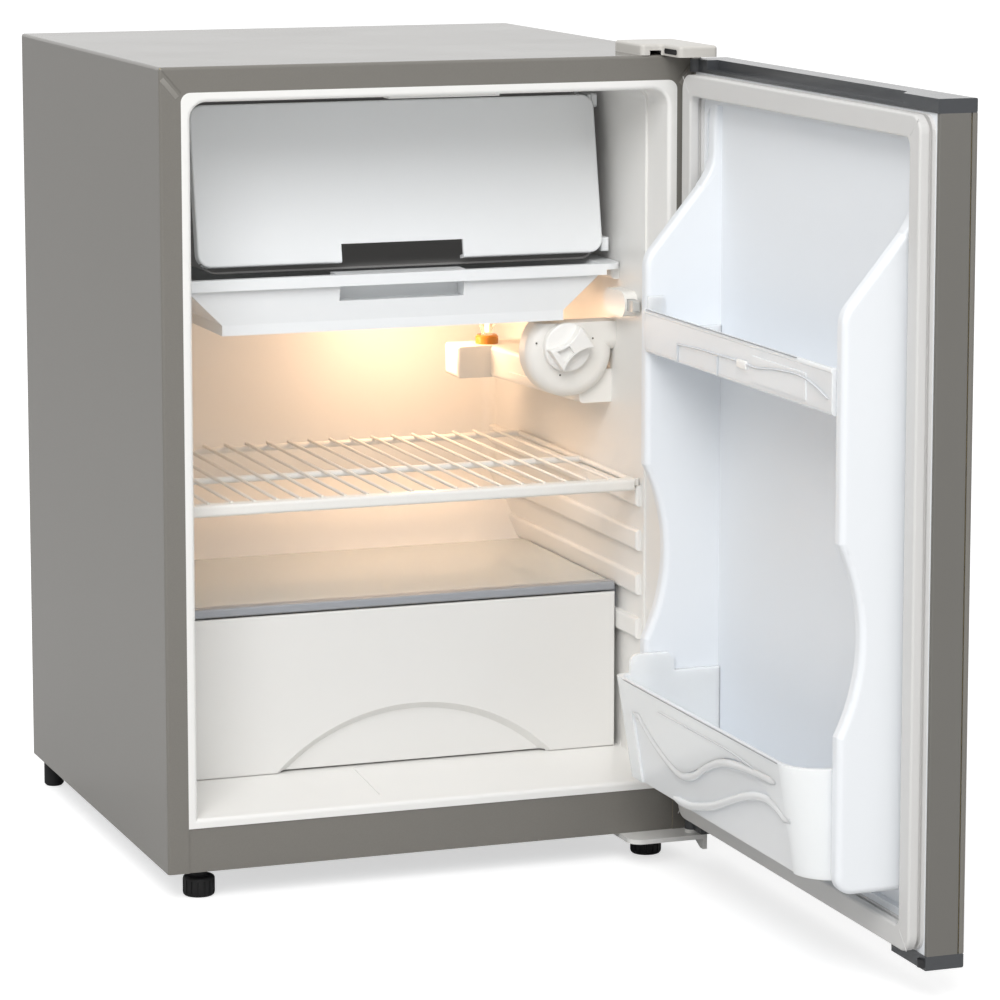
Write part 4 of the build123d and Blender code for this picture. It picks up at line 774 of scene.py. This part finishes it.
@dataclass
class ControlKnob:
    """The thermostat's knob with a waisted, hollowed grip, and the marks beside it."""

    centre: Place = (159.5, 111.7, 435.5)
    radius: float = 21.5 * MM
    disc: float = 7.0 * MM
    disc_round: float = 1.8 * MM
    disc_sides: int = 64
    shaft_radius: float = 3.0 * MM
    shaft_length: float = 7.0 * MM
    grip_length: float = 35.0 * MM
    grip_width: float = 23.0 * MM
    grip_height: float = 11.0 * MM
    grip_sink: float = 0.5 * MM
    grip_round: float = 0.9 * MM
    grip_angle: float = 50.0
    waist: float = 0.5
    columns: int = 4
    hollow: float = 4.5 * MM
    hollow_rim: float = 0.8 * MM
    hollow_span: Span = (-0.8, -0.05)
    hollow_width: float = 0.3
    hollow_flat: float = 0.99
    lean: float = -35.0
    mark_plane: float = 112.0
    mark_radius: float = 0.9 * MM
    mark_height: float = 0.5 * MM
    mark_round: float = 0.2 * MM
    mark_sides: int = 20
    marks: Path = ((-27.0, 4.0), (25.5, 6.0), (-5.0, -25.0))

    def build(self) -> None:
        """Models the knob and its marks."""
        x, y, z = at(*self.centre)
        knob = Workpiece.round_bar("thermostat_knob_shaped", self.radius, self.disc,
                                   (x, y - self.disc / 2, z), self.disc_sides, LYING)
        front = y - self.disc * SQUARE_ON
        knob.on_edges(lambda a, b: max(a.y, b.y) < front).bevelled(self.disc_round, 3).done()
        knob.on_faces(facing(y=1)).inset(self.radius - self.shaft_radius)
        knob.drawn(y=self.shaft_length).done()
        knob.joined(self.grip((x, y - self.disc - self.grip_height / 2 + self.grip_sink, z))).smoothed()
        knob.fitted("knob", "white_plastic", KNOB_WHITE, "thermostat_knob")
        mark = Workpiece.round_bar("mark", self.mark_radius, self.mark_height, ZERO, self.mark_sides, LYING)
        mark.on_edges(lambda a, b: max(a.y, b.y) < 0).bevelled(self.mark_round, 2).done().smoothed()
        for i, (right, up) in enumerate(self.marks):
            place = at(self.centre[0] + right, self.mark_plane, self.centre[2] + up)
            mark.copied(f"thermostat_mark_{i}", place).fitted("cabinet", "edge_grey", EDGE_GREY)
        mark.scrapped()

    def grip(self, centre: Place) -> Workpiece:
        """Models the grip that the fingers turn.

        Args:
            centre: its middle.

        Returns:
            The grip.
        """
        size = (self.grip_length, self.grip_height, self.grip_width)
        grip = Workpiece.box("grip", size, ZERO).on_faces(lambda face: True)
        bpy.ops.mesh.subdivide(number_cuts=2 * self.columns - 1)
        grip.done()
        reach = self.grip_length / 2
        for step in range(1 - self.columns, self.columns):
            share = step / self.columns
            grip.on_points(lambda point: abs(point.co.x - reach * share) < reach / self.columns / 2)
            bpy.ops.transform.resize(value=(1.0, 1.0, 1 - self.waist * (1 - share ** 2)),
                                     center_override=ZERO)
            grip.done()
        grip.softened(self.grip_round, 3, self.grip_angle)
        low, high = (reach * share for share in self.hollow_span)
        grip.on_faces(lambda face: face.normal.y < -self.hollow_flat and low < face.center.x < high
                      and abs(face.center.z) < self.grip_width * self.hollow_width)
        grip.inset(self.hollow_rim).drawn(y=self.hollow).done()
        turned = grip.copied("grip_turned", centre, (0.0, math.radians(self.lean), 0.0))
        grip.scrapped()
        return turned


@dataclass
class InteriorLamp:
    """The small bulb over the control arm: a glass envelope and its glowing wire."""

    place: Place = (161.0, 318.0, 420.0)
    neck_radius: float = 5.2 * MM
    neck_height: float = 2.0 * MM
    sides: int = 32
    steps: Path = ((3.0, 1.0), (3.5, 1.35), (4.0, 1.22), (4.5, 1.05), (4.0, 0.88), (3.2, 0.72), (1.8, 0.5))
    wire_up: float = 14.0
    wire_radius: float = 2.6 * MM
    wire_thick: float = 0.35 * MM
    wire_steps: tuple[int, int] = (24, 8)
    wire_legs: float = 9.0 * MM
    shade_angle: float = 60.0

    def build(self) -> None:
        """Models the envelope by drawing a ring upwards, and the wire inside it."""
        x, y, z = at(*self.place)
        glass = Workpiece.round_bar("lamp_bulb_glass", self.neck_radius, self.neck_height,
                                    (x, y, z + self.neck_height / 2), self.sides)
        glass.on_faces(facing(z=1))
        for up, spread in self.steps:
            glass.drawn(z=up * MM, spread=spread)
        glass.done().smoothed(self.shade_angle).fitted("cabinet", "lamp_glass", BULB_GLASS, "lamp_bulb")
        up = z + self.wire_up * MM
        wire = Workpiece.ring("lamp_wire", self.wire_radius, self.wire_thick, (x, y, up), self.wire_steps,
                              LYING)
        wire.on_faces(lambda face: face.center.z < up - self.wire_radius * SQUARE_ON)
        wire.drawn(z=-self.wire_legs).done().smoothed().fitted("cabinet", "lamp_glass", LAMP)


@dataclass
class SeamDetails:
    """Small seams: lapped flange corners with a painted highlight, the seal's corners, the compressor's weld
    and the cover's slot in painted shade.
    """

    lap_size: Place = (20.0 * MM, 0.32 * MM, 4.0 * MM)
    lap_centre: Span = (226.4, 678.4)
    lap_lean: float = 49.4
    lap_round: float = 0.1 * MM
    seal_plane: float = 215.5
    seal_middle: float = -243.0
    seal_side: float = 220.5
    seal_heights: Span = (50.0, 671.5)
    seal_lean: float = 45.0
    seal_round: float = 0.2 * MM
    seal_bead: Place = (0.5 * MM, 19.0 * MM, 0.9 * MM)
    weld_place: Place = (-50.0, 404.0, 106.3)
    weld_radius: float = 53.0 * MM
    weld_thick: float = 1.7 * MM
    weld_steps: tuple[int, int] = (120, 10)
    weld_ripples: int = 60
    weld_ripple: float = 0.35 * MM
    weld_angle: float = 60.0
    slot_size: Place = (0.8 * MM, 27.0 * MM, 4.4 * MM)
    slot_place: Place = (203.1, -19.0, 699.4)
    slot_round: float = 0.48
    slot_rim: float = 0.5 * MM
    slot_depth: float = 0.15 * MM

    def build(self) -> None:
        """Models each kind once and copies it to its places."""
        self.laps()
        self.seal_corners()
        self.weld()
        self.cover_slot()

    def laps(self) -> None:
        """Models the lapped strip where the side flange ends, at both upper corners, in a lighter grey that
        paints a highlight.
        """
        strip = Workpiece.box("lap", self.lap_size, ZERO).softened(self.lap_round).smoothed()
        across, high = self.lap_centre
        for side, name in ((-1, "left"), (1, "right")):
            turn = (0.0, -side * math.radians(self.lap_lean), 0.0)
            piece = strip.copied(f"corner_lap_{name}", at(side * across, 0.0, high), turn)
            piece.fitted("cabinet", "grey_paint", LAP_HIGHLIGHT_GREY)
        strip.scrapped()

    def seal_corners(self) -> None:
        """Models the thin bead where two lengths of the seal are welded, at all four corners."""
        bead = Workpiece.box("bead", self.seal_bead, ZERO).softened(self.seal_round).smoothed()
        low, high = self.seal_heights
        for i, (side, height) in enumerate(((-1, low), (1, low), (1, high), (-1, high))):
            lean = math.radians(self.seal_lean if (side > 0) == (height == high) else -self.seal_lean)
            place = at(self.seal_plane, side * self.seal_side + self.seal_middle, height)
            bead.copied(f"seal_corner_{i}", place, (lean, 0.0, 0.0)).fitted("door", "seal_grey", SEAL_GREY)
        bead.scrapped()

    def weld(self) -> None:
        """Models the rippled bead that joins the two halves of the compressor's can."""
        centre = at(*self.weld_place)
        bead = Workpiece.ring("compressor_weld", self.weld_radius, self.weld_thick, centre, self.weld_steps)
        turn = math.tau / self.weld_ripples
        bead.on_faces(lambda face: math.atan2(*(face.center - Vector(centre)).xy) / turn % 1 < 0.5)
        bpy.ops.transform.shrink_fatten(value=self.weld_ripple)
        bead.done().smoothed(self.weld_angle).fitted("cabinet", "black_paint", BLACK_PAINT)

    def cover_slot(self) -> None:
        """Models a black oval of painted shade where the side of the hinge cover's arm shows a dark slot."""
        thick, _, high = self.slot_size
        oval = Workpiece.box("hinge_cover_slot", self.slot_size, at(*self.slot_place))
        oval.on_edges(lambda a, b: abs(a.x - b.x) > thick * SQUARE_ON)
        oval.bevelled(high * self.slot_round, 5).done()
        oval.on_faces(facing(x=-1)).inset(self.slot_rim, -self.slot_depth).done()
        oval.smoothed().fitted("cabinet", "black_rubber", BLACK_RUBBER)


@dataclass
class BinRelief:
    """Fine relief on the guards of both bins: dark lines of painted shade along the top edges, moulded lines
    in a darker clear plastic that paints their shade, waves, and a clip.
    """

    upper_face: float = 165.2
    lower_face: float = 153.0
    lower_foot: float = 92.0
    lower_lean: float = 0.159
    wave_sink: float = 0.5
    wave_flat: float = 0.5
    edge_radius: float = 0.55 * MM
    line_radius: float = 0.9 * MM
    wave_radius: float = 3.6 * MM
    upper_edge: Path = ((-60.0, 488.6), (-200.0, 488.6), (-366.0, 488.6))
    upper_arch: Path = ((-128.0, 468.3), (-175.0, 470.2), (-212.0, 470.6), (-250.0, 471.0), (-290.0, 470.4),
                        (-325.0, 474.0), (-372.0, 475.8), (-401.0, 471.6), (-423.0, 465.4))
    lower_edge: Path = ((-78.0, 179.5), (-240.0, 179.5), (-396.0, 179.5))
    lower_line: Path = ((-150.0, 167.6), (-230.0, 167.6), (-300.0, 167.4), (-350.0, 163.0))
    lower_waves: tuple[Path, ...] = (
        ((-92.0, 153.0), (-130.0, 136.0), (-173.0, 121.0), (-207.0, 125.0), (-240.0, 140.0), (-274.0, 152.0),
         (-310.0, 158.0), (-345.0, 161.0), (-377.0, 162.0)),
        ((-158.0, 95.5), (-193.0, 97.0), (-225.0, 104.0), (-252.0, 111.5), (-295.0, 127.0), (-330.0, 138.0),
         (-360.0, 143.0), (-380.0, 141.0), (-394.0, 135.0)))
    sides: int = 12
    bend_steps: int = 6
    taper: float = 3.0
    tip: float = 0.4
    tip_length: float = 0.2 * MM
    upright_places: Span = (-128.5, -212.0)
    upright_middle: float = 461.5
    upright_length: float = 15.0 * MM
    upright_tip: float = 1.0 * MM
    upright_taper: float = 0.5
    shade_angle: float = 60.0
    clip_place: Span = (-262.0, 469.6)
    clip_size: Place = (2.2 * MM, 18.0 * MM, 6.5 * MM)
    clip_rim: float = 1.2 * MM
    clip_rise: float = 0.3 * MM
    clip_round: float = 0.5 * MM

    def build(self) -> None:
        """Models the lines of both guards, and the upper one's uprights and clip."""
        upper, lower = self.on_upper, self.on_lower
        # The edge lines are painted shade: dark grey beads standing in for the shading along the clear rims'
        # top edges; the other lines take the darker clear plastic, also painted shade.
        for name, points, radius, slot, finish in (
                ("upper_bin_edge", upper(self.upper_edge), self.edge_radius, "trim_grey", TRIM_GREY),
                ("upper_bin_arch", upper(self.upper_arch), self.line_radius, "clear_plastic", SHADED_BIN_LINE),
                ("lower_bin_edge", lower(self.lower_edge, 0.0), self.edge_radius, "trim_grey", TRIM_GREY),
                ("lower_bin_line", lower(self.lower_line, 0.0), self.edge_radius, "clear_plastic", SHADED_BIN_LINE)):
            self.line(name, points, radius).fitted(name.rpartition("_")[0], slot, finish)
        for i, wave in enumerate(self.lower_waves):
            points = lower(wave, self.wave_sink)
            bar = self.line(f"lower_bin_wave_{i}", points, self.wave_radius, self.wave_flat)
            bar.fitted("lower_bin", "clear_plastic", CLEAR)
        self.uprights()
        self.clip()

    def on_upper(self, path: Path) -> list[Place]:
        """Lays a path of places along Y and heights on the upright guard of the upper bin."""
        return [(self.upper_face, *point) for point in path]

    def on_lower(self, path: Path, sink: float) -> list[Place]:
        """Lays a path on the leaning guard of the lower bin, sunk under its face by some millimetres."""
        return [(self.lower_face - (high - self.lower_foot) * self.lower_lean + sink, along, high)
                for along, high in path]

    def line(self, name: str, points: list[Place], radius: float, flat: float = 1.0) -> Workpiece:
        """Models a round line through some points, with tapered ends.

        Args:
            name: the piece's name.
            points: its points in millimetres, towards lesser Y.
            radius: its radius up and down.
            flat: its radius off the guard, as a share of that.

        Returns:
            The line.
        """
        taper = self.taper * radius
        spots = [Vector(at(*point)) for point in points]
        bar = Workpiece.round_bar(name, radius * self.tip, self.tip_length, tuple(spots[0]), self.sides,
                                  LYING)
        bar.on_faces(facing(y=-1)).drawn(y=-taper, spread=1 / self.tip)
        bpy.ops.transform.resize(value=(flat, 1.0, 1.0))
        spots[0].y -= taper
        ends = [spots[0], *spots, spots[-1]]
        for before, start, stop, after in zip(ends, ends[1:], ends[2:], ends[3:]):
            bend = interpolate_bezier(start, start + (stop - before) / 6, stop - (after - start) / 6, stop,
                                      self.bend_steps)
            for here, there in zip(bend, bend[1:]):
                bar.drawn(*(there - here))
        return bar.drawn(y=-taper, spread=self.tip).done().smoothed(self.shade_angle)

    def uprights(self) -> None:
        """Models one upright of the upper guard's panel and copies it."""
        post = Workpiece.round_bar("upright", self.line_radius, self.upright_length, ZERO, self.sides)
        post.on_faces(facing(z=-1)).drawn(z=-self.upright_tip, spread=self.upright_taper)
        post.done().smoothed(self.shade_angle)
        for i, place in enumerate(self.upright_places):
            spot = at(self.upper_face, place, self.upright_middle)
            # The uprights take the darker clear plastic, painted shade.
            post.copied(f"upper_bin_upright_{i}", spot).fitted("upper_bin", "clear_plastic", SHADED_BIN_LINE)
        post.scrapped()

    def clip(self) -> None:
        """Models the small white clip on the upper guard."""
        clip = Workpiece.box("upper_bin_clip", self.clip_size, at(self.upper_face, *self.clip_place))
        clip.on_faces(facing(x=-1)).inset(self.clip_rim, self.clip_rise).done()
        clip.softened(self.clip_round).smoothed().fitted("upper_bin", "white_plastic", KNOB_WHITE)


@dataclass
class DoorRidges:
    """The low ridges of the inner door that run on from the top of each dyke to the top of the panel."""

    base: float = 235.5
    near_side: float = -47.5
    far_side: float = -438.5
    width: float = 14.7
    low: float = 584.0
    profile: Path = ((590.0, 18.75), (595.4, 14.74), (600.8, 11.62), (606.2, 9.4), (611.6, 8.06),
                     (617.0, 7.6), (640.0, 7.2), (650.0, 6.7), (657.5, 6.2))
    edge_round: float = 3.0 * MM
    shade_angle: float = 40.0

    def build(self) -> None:
        """Models one ridge by drawing it upwards while it gets shallower, and copies it to the other dyke."""
        (top, depth), *rest = self.profile
        centre = at(self.base - depth / 2, self.near_side, (self.low + top) / 2)
        size = (depth * MM, self.width * MM, (top - self.low) * MM)
        ridge = Workpiece.box("door_ridge_hinge", size, centre)
        ridge.on_faces(facing(z=1))
        panel = at(self.base, 0.0, 0.0)
        for high, reach in rest:
            ridge.drawn(z=(high - top) * MM)
            bpy.ops.transform.resize(value=(reach / depth, 1.0, 1.0), center_override=panel)
            top, depth = high, reach
        ridge.done()
        ridge.on_edges(lambda a, b: max(a.x, b.x) < panel[0] - MM and abs(a.y - b.y) < self.width * MM / 2)
        ridge.bevelled(self.edge_round, 4).done().smoothed(self.shade_angle)
        twin = ridge.copied("door_ridge_free", (0.0, (self.far_side - self.near_side) * MM, 0.0))
        for piece in (ridge, twin):
            piece.fitted("door", "white_plastic", DOOR_WHITE)


@dataclass
class Studio:
    """The pale floor, the soft light and the camera."""

    floor_size: float = 80.0
    floor_colour: tuple[float, ...] = (0.66, 0.66, 0.66, 1.0)
    floor_rough: float = 0.9
    floor_lift: float = 0.6
    sky_low: float = 0.34
    sky_high: float = 1.0
    key_place: Place = (-1.7, -3.2, 3.2)
    key_aim: Place = (0.0, 0.0, 0.4)
    key_size: float = 2.6
    key_power: float = 124.0
    glow_place: Place = (0.085, 0.315, 0.43)
    glow_size: float = 0.02
    glow_power: float = 0.5
    glow_colour: Place = (1.0, 0.64, 0.39)
    eye: Place = (-1.150, -3.2775, 0.935)
    turn: float = 20.06
    dip: float = 8.58
    lens: float = 151.0
    sensor: float = 36.0
    lift: float = -0.1
    sight: float = 200.0

    def build(self) -> None:
        """Sets up floor, light and camera."""
        bpy.context.scene.view_settings.view_transform = "Standard"
        self.floor()
        self.sky()
        self.key()
        self.lamp_glow()
        self.camera()

    def floor(self) -> None:
        """Lays a wide pale floor that keeps the shadow."""
        ground = Workpiece.started("floor", bpy.ops.mesh.primitive_plane_add, size=self.floor_size).obj
        material = bpy.data.materials.new("pale_floor")
        material.use_nodes = True
        desk = Desk(material.node_tree)
        rays = desk.add("ShaderNodeLightPath").outputs
        seen = desk.math("MAXIMUM", rays["Is Camera Ray"], rays["Is Transmission Ray"])
        for socket, value in (("Base Color", self.floor_colour), ("Roughness", self.floor_rough),
                              ("Specular IOR Level", 0.0), ("Emission Color", WHITE),
                              ("Emission Strength", desk.math("MULTIPLY", seen, self.floor_lift))):
            desk.feed(material.node_tree.nodes["Principled BSDF"], socket, value)
        ground.data.materials.append(material)

    def sky(self) -> None:
        """Surrounds the object with white light that weakens from overhead to the horizon."""
        world = bpy.data.worlds.new("white_surround")
        bpy.context.scene.world = world
        world.use_nodes = True
        desk = Desk(world.node_tree)
        rays = desk.add("ShaderNodeLightPath").outputs
        seen = desk.math("MAXIMUM", rays["Is Camera Ray"], rays["Is Glossy Ray"])
        seen = desk.math("MAXIMUM", seen, rays["Is Transmission Ray"])
        way = desk.add("ShaderNodeTexCoord").outputs["Generated"]
        height = desk.add("ShaderNodeSeparateXYZ", {0: way}).outputs["Z"]
        light = desk.spread(height, self.sky_low, self.sky_high)
        surround = world.node_tree.nodes["Background"]
        desk.feed(surround, "Color", WHITE)
        desk.feed(surround, "Strength", desk.math("MAXIMUM", light, seen))

    def hung(self, data: bpy.types.ID, place: Place) -> bpy.types.Object:
        """Puts a light or a camera into the scene.

        Args:
            data: what it is.
            place: where it stands.

        Returns:
            Its object.
        """
        obj = bpy.data.objects.new(data.name, data)
        obj.location = place
        bpy.context.collection.objects.link(obj)
        return obj

    def key(self) -> None:
        """Hangs the large soft key light in front, to the left and above."""
        data = bpy.data.lights.new("key", "AREA")
        data.energy, data.size = self.key_power, self.key_size
        aim = Vector(self.key_aim) - Vector(self.key_place)
        self.hung(data, self.key_place).rotation_euler = aim.to_track_quat("-Z", "Y").to_euler()

    def lamp_glow(self) -> None:
        """Lights the middle compartment warmly from beside its lamp."""
        data = bpy.data.lights.new("lamp_glow", "POINT")
        data.energy, data.color, data.shadow_soft_size = self.glow_power, self.glow_colour, self.glow_size
        self.hung(data, self.glow_place)

    def camera(self) -> None:
        """Stands the camera where the view is taken from."""
        data = bpy.data.cameras.new("camera")
        data.lens, data.sensor_width, data.sensor_fit = self.lens, self.sensor, "HORIZONTAL"
        data.shift_y, data.clip_end = self.lift, self.sight
        camera = self.hung(data, self.eye)
        camera.rotation_euler = (math.radians(90 - self.dip), 0.0, math.radians(-self.turn))
        bpy.context.scene.camera = camera


def main() -> None:
    """Dresses the solids, adds the fittings and sets up the studio."""
    logging.basicConfig(level=logging.INFO, format="%(name)s: %(message)s")
    dress_nodes()
    for assembly in (Fasteners(), LevellingFeet(), ControlKnob(), InteriorLamp(), SeamDetails(), BinRelief(),
                     DoorRidges(), Studio()):
        assembly.build()


if __name__ == "__main__":
    main()
